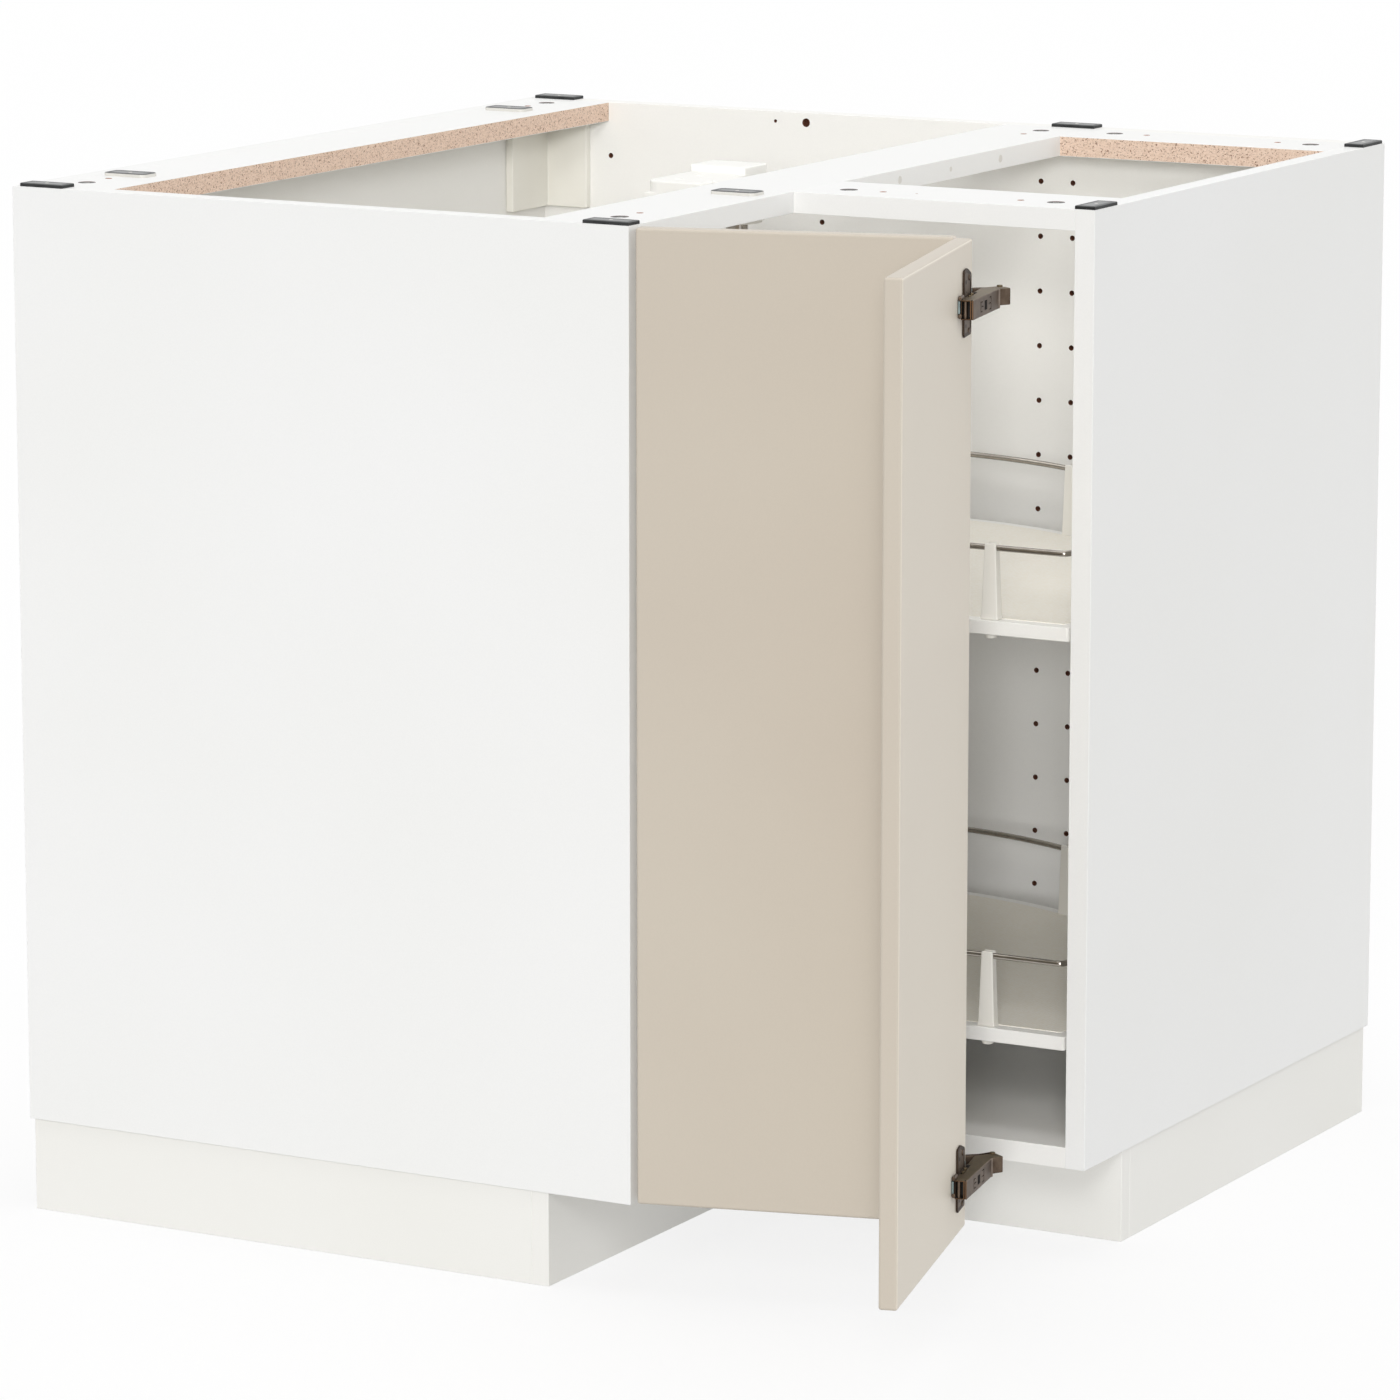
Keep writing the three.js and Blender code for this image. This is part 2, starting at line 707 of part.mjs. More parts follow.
function addShelfTier(carousel, tier, top) {
  piece(carousel, tier + "_shelf", "shelfBoard", shelfGeometry(top));
  piece(carousel, tier + "_shelf_rail", "chrome", wireLoopGeometry(top + wireHeight));
  piece(carousel, tier + "_shelf_hub", "whitePlastic", hubGeometry()).position.z = top;
  postPlaces().forEach(({ x, y, turn }, i) => {
    const post = piece(carousel, tier + "_shelf_post_" + (i + 1), "whitePlastic", postGeometry());
    post.position.set(x, y, top);
    post.rotation.z = turn;
  });
}

// The pole stands still. A collar under each hub carries its shelf.
function poleGeometry() {
  const collar = (shelfTop) => {
    const top = shelfTop - shelfThickness - hubFlangeThickness - fitGap;
    return [
      [poleRadius, top - collarHeight],
      [collarRadius, top - collarHeight],
      [collarRadius, top],
      [poleRadius, top],
    ];
  };
  const bottom = floorTop + bearingFloor + fitGap;
  const top = railBottom + bracketCap - fitGap;
  const profile = [
    [0, bottom],
    [poleRadius, bottom],
    ...collar(lowerShelfTop),
    ...collar(upperShelfTop),
    [poleRadius, top],
    [0, top],
  ];
  return turned(profile, poleSides);
}

function bottomBearingGeometry() {
  const flangeTop = floorTop + bearingFlangeThickness;
  const bossTop = floorTop + bearingBossHeight;
  const profile = [
    [0, floorTop],
    [bearingFlangeRadius, floorTop],
    [bearingFlangeRadius, flangeTop],
    [bearingBossRadius, flangeTop],
    [bearingBossRadius, bossTop],
    [boreRadius, bossTop],
    [boreRadius, floorTop + bearingFloor],
    [0, floorTop + bearingFloor],
  ];
  return turned(profile, poleSides);
}

// Under the middle rail and round the pole's upper end, with a raised part beside the rail.
function topBearingGeometry() {
  const railEdge = wingDepth - middleRailWidth - axisX;
  const left = -bracketPastAxis;
  const blockRight = -bracketBlockPastAxis;
  const front = [-bracketHalfWidth, bracketHalfWidth];
  const rear = [bracketHalfWidth, bracketHalfWidth + bracketRearWidth];
  const plate = box([left, railEdge + bracketUnderRail], front, [railBottom - bracketThickness, railBottom]);
  const round = bracketRounding;
  const raisedOutline = [
    ...arc(left + round, front[0] + round, round, 2 * quarterTurn, 3 * quarterTurn),
    new THREE.Vector2(blockRight, front[0]),
    new THREE.Vector2(blockRight, rear[1]),
    new THREE.Vector2(left, rear[1]),
  ];
  const raised = prism(raisedOutline, [railBottom - bracketThickness, railBottom + bracketFrontHeight]);
  const step = box([left, blockRight], rear, [railBottom, railBottom + bracketRearHeight]);
  const boss = cylinder(
    bracketBossRadius,
    [railBottom - bracketBossDrop, railBottom + bracketCap + bracketThickness],
    poleSides,
  );
  const bore = cylinder(
    boreRadius,
    [railBottom - bracketBossDrop - fitGap, railBottom + bracketCap],
    poleSides,
  );
  const screws = [-bracketScrewSpacing / 2, bracketScrewSpacing / 2].map((y) => {
    const top = railBottom + bracketFrontHeight;
    return cylinder(bracketScrewRadius, [top - bracketScrewDepth, top + fitGap], screwSides)
      .translate(left + bracketScrewInset, y, 0);
  });
  return cut(join(plate, raised, step, boss), bore, ...screws);
}

function addCarousel(parent) {
  const carousel = new THREE.Group();
  carousel.position.set(axisX, axisY, 0);
  parent.add(carousel);
  piece(carousel, "carousel_pole", "chrome", poleGeometry());
  piece(carousel, "bottom_bearing", "whitePlastic", bottomBearingGeometry());
  piece(carousel, "top_bearing_bracket", "whitePlastic", topBearingGeometry());
  addShelfTier(carousel, "lower", lowerShelfTop);
  addShelfTier(carousel, "upper", upperShelfTop);
}

// ---- The whole cabinet ----

const cabinet = new THREE.Group();
cabinet.position.set(-axisX, -axisY, 0);
addBoards(cabinet);
addCornerAngle(cabinet);
addPlinth(cabinet);
addLegs(cabinet);
addWorktopPads(cabinet);
addDoors(cabinet);
addCarousel(cabinet);

export default cabinet;
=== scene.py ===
import json
import math

import bmesh
import bpy
from mathutils import Matrix, Vector


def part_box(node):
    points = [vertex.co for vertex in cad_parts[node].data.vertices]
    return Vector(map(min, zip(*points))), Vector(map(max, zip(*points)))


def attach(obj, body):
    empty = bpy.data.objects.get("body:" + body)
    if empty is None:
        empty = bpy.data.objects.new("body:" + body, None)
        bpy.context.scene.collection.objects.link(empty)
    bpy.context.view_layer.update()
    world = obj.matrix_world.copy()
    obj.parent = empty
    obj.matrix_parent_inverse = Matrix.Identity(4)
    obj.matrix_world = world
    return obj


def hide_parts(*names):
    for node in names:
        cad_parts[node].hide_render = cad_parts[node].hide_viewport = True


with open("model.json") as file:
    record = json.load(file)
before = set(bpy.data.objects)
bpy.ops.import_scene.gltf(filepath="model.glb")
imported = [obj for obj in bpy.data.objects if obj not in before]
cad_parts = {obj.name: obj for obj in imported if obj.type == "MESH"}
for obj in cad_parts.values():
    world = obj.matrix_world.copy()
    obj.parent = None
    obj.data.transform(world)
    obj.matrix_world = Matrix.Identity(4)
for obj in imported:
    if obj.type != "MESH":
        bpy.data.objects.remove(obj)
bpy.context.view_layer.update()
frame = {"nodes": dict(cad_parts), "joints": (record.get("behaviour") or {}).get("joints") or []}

mm = 0.001
up = (0, 0, 1)
print("frame loaded")

# Places are given in millimetres from the cabinet's own corner: x from its left wall face, y from the
# front face of its left end panel, z from the floor.
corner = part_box("left_end_panel")[0]


def at(x, y, z=0.0):
    return Vector((corner.x + x * mm, corner.y + y * mm, z * mm))


# The doors are shaped closed, where their faces are square to the axes, and then swung open.
hinge = next(joint for joint in frame["joints"] if joint["name"] == "leaf_1_hinge")
pivot = Vector(hinge["pos_m"])
openAngle = math.radians(hinge["range_deg"][1])
swing = Matrix.Translation(pivot) @ Matrix.Rotation(-openAngle, 4, "Z") @ Matrix.Translation(-pivot)


def closedBox(node):
    points = [swing.inverted() @ v.co for v in frame["nodes"][node].data.vertices]
    low = Vector([min(p[i] for p in points) for i in range(3)])
    high = Vector([max(p[i] for p in points) for i in range(3)])
    return low, high


def addObject(name, data):
    made = bpy.data.objects.new(name, data)
    bpy.context.scene.collection.objects.link(made)
    return made


# ---- Camera ----

camera = {
    "place": (2.7176, -4.9756, 1.5025),
    "turn": 28.96,  # degrees to the left of straight ahead
    "tilt": 10.79,  # degrees downwards
    "lens": 172.1,
    "sensor": 36.0,
}


def addCamera():
    data = bpy.data.cameras.new("camera")
    data.lens = camera["lens"]
    data.sensor_width = camera["sensor"]
    data.clip_start = 0.1
    data.clip_end = 60.0
    eye = addObject("camera", data)
    eye.location = camera["place"]
    eye.rotation_euler = (math.radians(90 - camera["tilt"]), 0, math.radians(camera["turn"]))
    bpy.context.scene.camera = eye


addCamera()
print("camera placed")

# ---- Finishes ----

white = (255, 255, 255)
black = (0, 0, 0)


# Sets a node's sockets to values, or joins them to other sockets.
def feed(tree, node, sockets):
    for name, value in sockets.items():
        if isinstance(value, bpy.types.NodeSocket):
            tree.links.new(value, node.inputs[name])
        else:
            node.inputs[name].default_value = value
    return node


def addNode(tree, kind, sockets):
    return feed(tree, tree.nodes.new("ShaderNode" + kind), sockets)


def startFinish(name, roughness, metallic=0.0):
    material = bpy.data.materials.new(name)
    material.use_nodes = True
    tree = material.node_tree
    shader = feed(tree, tree.nodes["Principled BSDF"], {"Roughness": roughness, "Metallic": metallic})
    return material, tree, shader, addNode(tree, "TexCoord", {}).outputs["Object"]


def noise(tree, place, scale, detail=3.0, roughness=0.5):
    sockets = {"Vector": place, "Scale": scale, "Detail": detail, "Roughness": roughness}
    return addNode(tree, "TexNoise", sockets).outputs["Fac"]


def stretched(tree, place, scale):
    return addNode(tree, "Mapping", {"Vector": place, "Scale": scale}).outputs["Vector"]


def between(tree, value, low, high):
    return addNode(tree, "MapRange", {"Value": value, "To Min": low, "To Max": high}).outputs["Result"]


def bump(tree, height, strength, depth):
    sockets = {"Height": height, "Strength": strength, "Distance": depth}
    return addNode(tree, "Bump", sockets).outputs["Normal"]


# Colours are written as they look, from 0 to 255, and turned into the linear values that shaders take.
def linear(colour):
    def channel(share):
        return share / 12.92 if share <= 0.04045 else ((share + 0.055) / 1.055) ** 2.4
    return [channel(value / 255) for value in colour] + [1.0]


def ramp(tree, value, stops):
    node = addNode(tree, "ValToRGB", {"Fac": value})
    elements = node.color_ramp.elements
    while len(elements) < len(stops):
        elements.new(0.5)
    for element, (position, colour) in zip(elements, stops):
        element.position = position
        element.color = linear(colour)
    return node.outputs["Color"]


def blendColours(tree, share, first, second, kind="MIX"):
    node = tree.nodes.new("ShaderNodeMix")
    node.data_type = "RGBA"
    node.blend_type = kind
    return feed(tree, node, {0: share, 6: first, 7: second}).outputs[2]


# Foil and lacquer: nearly even colour, a broad cloudiness, a faint pebbled skin and uneven gloss.
def coatedFinish(name, colour, shade, gloss, pebble=900.0, pebbleDepth=0.00004):
    material, tree, shader, place = startFinish(name, gloss)
    broad = noise(tree, place, 3.0, 2.0)
    fine = noise(tree, place, pebble, 4.0, 0.6)
    tinted = ramp(tree, broad, [(0.3, shade), (0.7, colour)])
    feed(tree, shader, {
        "Base Color": blendColours(tree, 1.0, tinted, between(tree, fine, 0.97, 1.03), "MULTIPLY"),
        "Roughness": between(tree, broad, gloss - 0.05, gloss + 0.06),
        "Specular IOR Level": 0.25,
        "Normal": bump(tree, fine, 0.25, pebbleDepth),
    })
    return material


# Raw chipboard: fine wood chips in several browns, with dark resin specks.
def chipboardFinish(name, tones, speckColour):
    material, tree, shader, place = startFinish(name, 0.9)
    chips = addNode(tree, "TexVoronoi", {"Scale": 1150.0, "Vector": stretched(tree, place, (0.6, 0.6, 1.0))})
    pale = ramp(tree, chips.outputs["Color"], list(zip((0.0, 0.3, 0.6, 1.0), tones)))
    specks = ramp(tree, noise(tree, place, 760.0, 2.0), [(0.60, black), (0.66, white)])
    feed(tree, shader, {
        "Base Color": blendColours(tree, specks, pale, linear(speckColour)),
        "Normal": bump(tree, noise(tree, place, 1500.0), 0.6, 0.0003),
    })
    return material


# Moulded plastic: fine spark-eroded grain and slight flow marks.
def plasticFinish(name, colour, shade, gloss):
    material, tree, shader, place = startFinish(name, gloss)
    grain = noise(tree, place, 1400.0, 2.0)
    flow = noise(tree, stretched(tree, place, (1.0, 1.0, 0.3)), 30.0)
    feed(tree, shader, {
        "Base Color": ramp(tree, flow, [(0.25, shade), (0.75, colour)]),
        "Roughness": between(tree, grain, gloss - 0.06, gloss + 0.08),
        "Normal": bump(tree, grain, 0.2, 0.00008),
    })
    return material


# Plated metal: drawing lines along one axis, and a cloudy colour of uneven plating and rubbed spots that
# also holds painted reflections.
def platedFinish(name, colour, shade, gloss, along=(1.0, 1.0, 1.0), lines=0.12):
    material, tree, shader, place = startFinish(name, gloss, 1.0)
    # The cloudy colour is partly uneven plating and partly painted reflection.
    cloudAndReflection = noise(tree, place, 90.0, 4.0, 0.6)
    drawn = noise(tree, stretched(tree, place, along), 2200.0, 2.0)
    feed(tree, shader, {
        "Base Color": ramp(tree, cloudAndReflection, [(0.3, shade), (0.7, colour)]),
        "Roughness": between(tree, cloudAndReflection, gloss - 0.04, gloss + 0.1),
        "Normal": bump(tree, drawn, lines, 0.00005),
    })
    return material


# Shelf mat: cream plastic with close rows of small pips, with painted shade in the hollows between them.
def matFinish(name):
    material, tree, shader, place = startFinish(name, 0.7)
    pips = addNode(tree, "TexVoronoi", {"Scale": 330.0, "Randomness": 0.25, "Vector": place})
    tinted = ramp(tree, noise(tree, place, 12.0), [(0.3, (246, 244, 237)), (0.7, (249, 247, 241))])
    # Painted shade: the colour darkens and warms towards the hollows between the pips.
    hollowShade = ramp(tree, pips.outputs["Distance"], [(0.2, white), (0.75, (247, 243, 235))])
    feed(tree, shader, {
        "Base Color": blendColours(tree, 1.0, tinted, hollowShade, "MULTIPLY"),
        "Normal": bump(tree, pips.outputs["Distance"], 0.35, -0.0006),
    })
    return material


rawTones = ((192, 160, 138), (222, 196, 176), (232, 208, 190), (208, 178, 156))
drilledTones = ((150, 92, 64), (172, 108, 78), (184, 122, 90), (160, 100, 72))
# Painted shade: dark browns for the walls of bored holes and cam pockets.
boreShadeTones = ((92, 54, 38), (118, 70, 48), (134, 82, 58), (104, 62, 44))

finish = {
    "white": coatedFinish("white_foil", (240, 240, 239), (238, 238, 236), 0.42),
    "plinth": coatedFinish("plinth_foil", (240, 239, 235), (237, 236, 231), 0.46),
    "door": coatedFinish("beige_lacquer", (202, 193, 179), (199, 189, 175), 0.36, 700.0, 0.00003),
    # Painted light: the doors' inner faces take a lighter copy of the beige lacquer.
    "doorBackLit": coatedFinish("beige_back_painted_light", (227, 219, 205), (224, 215, 201), 0.4, 700.0, 0.00003),
    "shelf": coatedFinish("shelf_foil", (246, 245, 242), (243, 242, 238), 0.45),
    # Painted bounce light: a lighter, warmer copy of the white foil for faces inside the cabinet.
    "inner": coatedFinish("inner_foil_painted_light", (243, 242, 239), (241, 240, 236), 0.42),
    "chipboard": chipboardFinish("raw_chipboard", rawTones, (134, 100, 82)),
    "drilled": chipboardFinish("drilled_chipboard", drilledTones, (96, 58, 40)),
    "bore": chipboardFinish("bore_painted_shade", boreShadeTones, (44, 24, 16)),
    "plastic": plasticFinish("white_plastic", (240, 238, 232), (236, 233, 225), 0.38),
    "angle": plasticFinish("cream_plastic", (238, 236, 228), (234, 231, 222), 0.42),
    "black": plasticFinish("black_plastic", (52, 52, 54), (40, 40, 42), 0.5),
    "plug": plasticFinish("pale_plug", (222, 220, 215), (214, 211, 205), 0.45),
    "bronze": platedFinish("bronze_nickel", (104, 90, 78), (72, 60, 50), 0.45, (1, 1, 0.05)),
    # Painted light: a lighter, yellower copy of the bronze for the hinge's upward faces.
    "bronzeTopLit": platedFinish("bronze_top_painted_light", (112, 99, 78), (92, 80, 62), 0.45, (0.05, 1, 1)),
    "bronzeEdge": platedFinish("bronze_edge", (108, 82, 60), (84, 62, 45), 0.5, (1, 1, 0.05)),
    # Painted shade: a darker copy of the bronze for rims, hollows, grooves and rebates.
    "bronzeDeepShade": platedFinish("bronze_deep_painted_shade", (66, 54, 45), (48, 38, 31), 0.5, (1, 1, 0.05)),
    # Painted highlight: a lighter copy of the bronze for the rounded ridge.
    "bronzeHighlight": platedFinish("bronze_painted_highlight", (134, 122, 112), (110, 99, 90), 0.45, (1, 1, 0.05)),
    "bronzeShade": plasticFinish("bronze_shade", (30, 23, 18), (20, 15, 12), 0.7),
    "bracket": plasticFinish("bracket_plastic", (243, 242, 238), (240, 239, 234), 0.4),
    "zinc": platedFinish("zinc_plate", (134, 146, 146), (106, 117, 117), 0.5, (1, 0.05, 1)),
    "pad": platedFinish("pad_grey", (146, 147, 147), (128, 129, 129), 0.4),
    # Painted shade: the pads' rim and the square caps' sides are darker copies of the grey plating.
    "padRimShade": platedFinish("pad_rim_painted_shade", (104, 105, 105), (88, 89, 89), 0.45),
    "padSideShade": platedFinish("pad_side_painted_shade", (70, 71, 71), (52, 53, 53), 0.5),
    "padWall": plasticFinish("pad_wall", (214, 212, 206), (204, 201, 194), 0.4),
    "camDark": platedFinish("cam_zinc", (98, 98, 97), (76, 76, 75), 0.45),
    "camPale": platedFinish("cam_groove", (222, 221, 217), (206, 205, 200), 0.4),
    "chrome": platedFinish("chrome_wire", (176, 170, 162), (158, 152, 144), 0.12, (1, 1, 1), 0.03),
    "mat": matFinish("cream_mat"),
}
print("finishes made")

# ---- Shaping ----


def boxMesh(low, high):
    bm = bmesh.new()
    bmesh.ops.create_cube(bm, size=1.0)
    bmesh.ops.scale(bm, vec=high - low, verts=bm.verts)
    bmesh.ops.translate(bm, vec=(low + high) / 2, verts=bm.verts)
    return bm


# Sizes of roundings, insets and cylinders are in millimetres, places are in metres.
def soften(bm, radius, segments=2, edges=None):
    chosen = list(bm.edges) if edges is None else edges
    sizes = {"offset": radius * mm, "segments": segments, "profile": 0.5}
    bmesh.ops.bevel(bm, geom=chosen, affect="EDGES", material=-1, **sizes)


def inset(bm, faces, width, depth=0.0):
    bmesh.ops.inset_region(bm, faces=faces, thickness=width * mm, depth=depth * mm)


def meshOf(bm, finishes):
    bmesh.ops.remove_doubles(bm, verts=bm.verts, dist=1e-7)
    bmesh.ops.recalc_face_normals(bm, faces=bm.faces)
    mesh = bpy.data.meshes.new("mesh")
    bm.to_mesh(mesh)
    bm.free()
    for each in finishes:
        mesh.materials.append(finish[each])
    return mesh


# Cuts a shape out of a mesh, or joins it on, with the Boolean modifier applied at once.
def combine(mesh, bm, operation):
    holder = addObject("holder", mesh)
    other = addObject("other", bpy.data.meshes.new("other"))
    bmesh.ops.recalc_face_normals(bm, faces=bm.faces)
    bm.to_mesh(other.data)
    bm.free()
    for each in mesh.materials:
        other.data.materials.append(each)
    change = holder.modifiers.new("combine", "BOOLEAN")
    change.operation = operation
    change.solver = "EXACT"
    change.use_self = True
    change.object = other
    view = bpy.context.evaluated_depsgraph_get()
    view.update()
    made = bpy.data.meshes.new_from_object(holder.evaluated_get(view))
    otherMesh = other.data
    bpy.data.objects.remove(holder)
    bpy.data.objects.remove(other)
    bpy.data.meshes.remove(otherMesh)
    bpy.data.meshes.remove(mesh)
    return made


# Broad faces keep their own shading up to the rounded edges, where the light turns.
def addPiece(name, mesh, body, replaced=(), angle=50):
    mesh.name = name
    mesh.shade_smooth()
    mesh.set_sharp_from_angle(angle=math.radians(angle))
    piece = addObject(name, mesh)
    weighted = piece.modifiers.new("broad faces", "WEIGHTED_NORMAL")
    weighted.weight = 90
    weighted.keep_sharp = True
    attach(piece, body)
    if replaced:
        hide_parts(*replaced)


# A piece that takes the place of the CAD node it is named after.
def dress(node, kind, mesh, body="carcass", angle=50):
    addPiece(node + "_" + kind, mesh, body, [node], angle)


def setFinish(faces, index):
    for face in faces:
        face.material_index = index


def facing(bm, direction, limit=0.99):
    bm.normal_update()
    return [face for face in bm.faces if face.normal.dot(Vector(direction)) > limit]


def facesOf(verts):
    return list({face for vert in verts for face in vert.link_faces})


# Adds an upright or lying cylinder, with both ends capped, and one end wider or narrower by its tip.
def addCylinder(bm, centre, radius, depth, sides=24, direction=up, tip=None):
    turn = Vector(up).rotation_difference(Vector(direction)).to_matrix().to_4x4()
    place = Matrix.Translation(centre) @ turn
    other = radius if tip is None else tip
    sizes = {"radius1": radius * mm, "radius2": other * mm, "depth": depth * mm, "segments": sides}
    return bmesh.ops.create_cone(bm, cap_ends=True, matrix=place, **sizes)["verts"]


def cylinderMesh(*values):
    bm = bmesh.new()
    addCylinder(bm, *values)
    return bm


# A body of revolution about an upright axis, from its profile of (radius, height) in millimetres.
def turnedMesh(centre, profile, sides=48, closed=False):
    bm = bmesh.new()
    points = [bm.verts.new(centre + Vector((radius * mm, 0, height * mm))) for radius, height in profile]
    edges = [bm.edges.new(pair) for pair in zip(points, points[1:])]
    if closed:
        edges.append(bm.edges.new((points[-1], points[0])))
    whole = points + edges
    bmesh.ops.spin(bm, geom=whole, cent=centre, axis=up, angle=math.tau, steps=sides, use_merge=True)
    bmesh.ops.remove_doubles(bm, verts=bm.verts, dist=1e-6)
    return bm


def outlineMesh(points, z0, z1):
    bm = bmesh.new()
    face = bm.faces.new([bm.verts.new((x, y, z0)) for x, y in points])
    grown = bmesh.ops.extrude_face_region(bm, geom=[face])["geom"]
    moved = [each for each in grown if isinstance(each, bmesh.types.BMVert)]
    bmesh.ops.translate(bm, vec=(0, 0, z1 - z0), verts=moved)
    return bm


# An L in plan: the box from low to high without its corner past the notch.
def ellMesh(low, high, notch):
    x, y = notch
    points = [(low.x, low.y), (x, low.y), (x, y), (high.x, y), (high.x, high.y), (low.x, high.y)]
    return outlineMesh(points, low.z, high.z)


def edgesAlong(bm, axis):
    return [e for e in bm.edges if abs((e.verts[0].co - e.verts[1].co).normalized()[axis]) > 0.99]


def levelEdges(bm):
    return [e for e in bm.edges if abs(e.verts[0].co.z - e.verts[1].co.z) < 1e-6]


# Edges whose two faces meet at more than an angle in radians.
def creases(bm, limit=1.0):
    return [e for e in bm.edges if e.calc_face_angle(0) > limit]


# ---- Carcass boards ----

boards = {
    "arris": 0.5,
    "innerSides": {
        "left_end_panel": (0, 1, 0),
        "right_end_panel": (-1, 0, 0),
        "left_wall_panel": (1, 0, 0),
    },
    "rawEdges": {"rail_left": (1, 0, 0), "rail_rear": (0, -1, 0)},
    "drillRadius": 2.5,
    "drillDepth": 12.0,
    "topHoles": {
        "rail_left": [(40, 84, 3.1), (40, 780, 3.1)],
        "rail_middle": [(554, 82, 3.1), (554, 779, 3.1)],
        "rail_front": [(656, 310, 3.1), (686, 312, 1.2), (782, 311, 3.1)],
        "rail_rear": [(655, 822, 3.1), (782, 823, 3.1)],
    },
    "camRadius": 7.5,
    "camDepth": 1.3,
    "cams": {
        "rail_left": [(41, 50), (41, 813)],
        "rail_middle": [(553, 51), (555, 812)],
        "rail_front": [(624, 310), (814, 311)],
        "rail_rear": [(624, 821), (815, 820)],
    },
    "columns": (90, 314, 538, 570),
    "firstHole": 180,
    "holePitch": 50,
    "holeRows": 14,
    "extraHoles": [(265, 871, 1.6), (297, 871, 4.0)],
}


def drillFrom(bm, centre, direction, radius, depth, sides=20, index=1):
    setFinish(facesOf(addCylinder(bm, centre, radius, 2 * depth, sides, direction)), index)


def boardShape(node):
    bm = boxMesh(*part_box(node))
    soften(bm, boards["arris"])
    return bm


def plainBoard(node, look="white"):
    bm = boardShape(node)
    if node in boards["innerSides"]:
        # Faces inside the cabinet take the lighter inner copy of the foil, painted bounce light.
        setFinish(facing(bm, boards["innerSides"][node]), 1)
    dress(node, "board", meshOf(bm, [look, "inner"]))


def railBoard(node):
    bm = boardShape(node)
    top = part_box(node)[1].z / mm
    if node in boards["rawEdges"]:
        setFinish(facing(bm, boards["rawEdges"][node]), 1)
    mesh = meshOf(bm, ["white", "chipboard", "bore", "drilled"])
    cutter = bmesh.new()
    for x, y, radius in boards["topHoles"][node]:
        drillFrom(cutter, at(x, y, top), up, radius, boards["drillDepth"], 20, 3)
    # The cam pockets' walls take the dark chipboard, painted shade.
    for x, y in boards["cams"][node]:
        drillFrom(cutter, at(x, y, top), up, boards["camRadius"], boards["camDepth"], 32, 2)
    dress(node, "board", combine(mesh, cutter, "DIFFERENCE"))


cam = {"rim": 0.12, "drop": 0.2, "ringInner": 3.7, "buttonRadius": 1.9, "grooveDepth": 0.35, "slope": 0.2}


# Each cam lies in its round pocket: a dark ring, a bright groove round its drive, and a dark middle.
def camFittings():
    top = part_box("rail_left")[1].z / mm - cam["drop"]
    height = boards["camDepth"] - cam["drop"]
    radius = boards["camRadius"] - cam["rim"]
    bm = bmesh.new()
    for places in boards["cams"].values():
        for x, y in places:
            disc = addCylinder(bm, at(x, y, top - height / 2), radius, height, 32)
            face = [each for each in facesOf(disc) if each.normal.z > 0.9]
            inset(bm, face, radius - cam["ringInner"])
            inset(bm, face, cam["slope"], -cam["grooveDepth"])
            setFinish(face, 1)
            inset(bm, face, cam["ringInner"] - cam["slope"] - cam["buttonRadius"])
            inset(bm, face, cam["slope"], cam["grooveDepth"])
            setFinish(face, 0)
    addPiece("cam_fittings", meshOf(bm, ["camDark", "camPale"]), "carcass")


def rearWall():
    node = "rear_wall_panel"
    # The wall takes the lighter inner copy of the foil, painted bounce light.
    mesh = meshOf(boardShape(node), ["inner", "bore"])
    rows = [boards["firstHole"] + row * boards["holePitch"] for row in range(boards["holeRows"])]
    holes = [(x, z, boards["drillRadius"], 16) for x in boards["columns"] for z in rows]
    holes += [(x, z, radius, 24) for x, z, radius in boards["extraHoles"]]
    cutter = bmesh.new()
    # The holes' walls take the dark chipboard, painted shade.
    for x, z, radius, sides in holes:
        centre = at(x, 0, z)
        centre.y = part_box(node)[0].y
        drillFrom(cutter, centre, (0, 1, 0), radius, boards["drillDepth"], sides)
    dress(node, "board", combine(mesh, cutter, "DIFFERENCE"))


def bottomBoard():
    node = "bottom_panel"
    low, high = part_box(node)
    bm = ellMesh(low, high, (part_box("left_end_panel")[1].x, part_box("right_end_panel")[0].y))
    soften(bm, boards["arris"])
    # The bottom takes the lighter inner copy of the foil, painted bounce light.
    dress(node, "board", meshOf(bm, ["inner"]))


plugs = {"radii": (3.6, 2.4, 3.6), "distances": (468, 564, 660), "height": 871, "rise": 0.25, "slope": 0.3}


# Pale covers over the fixing holes in the middle rail's edge.
def edgePlugs():
    bm = bmesh.new()
    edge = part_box("rail_middle")[1].x
    for radius, y in zip(plugs["radii"], plugs["distances"]):
        centre = at(0, y, plugs["height"])
        centre.x = edge
        addCylinder(bm, centre, radius, 2 * plugs["rise"], 28, (1, 0, 0), radius - plugs["slope"])
    addPiece("edge_plugs", meshOf(bm, ["plug"]), "carcass")


for node in boards["innerSides"]:
    plainBoard(node)
for node in boards["topHoles"]:
    railBoard(node)
rearWall()
bottomBoard()
camFittings()
edgePlugs()
for node in ("plinth_front", "plinth_inner_side", "plinth_recessed_front", "plinth_right_side"):
    plainBoard(node, "plinth")
print("boards made")

# ---- Corner angle, legs and worktop pads ----

angle = {"thickness": 8.0, "rounding": 1.2}


# A plastic angle of two flanges in the rear corner.
def cornerAngle():
    low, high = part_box("corner_angle")
    thick = angle["thickness"] * mm
    bm = ellMesh(low, high, (low.x + thick, high.y - thick))
    soften(bm, angle["rounding"], 3)
    dress("corner_angle", "moulding", meshOf(bm, ["angle"]))


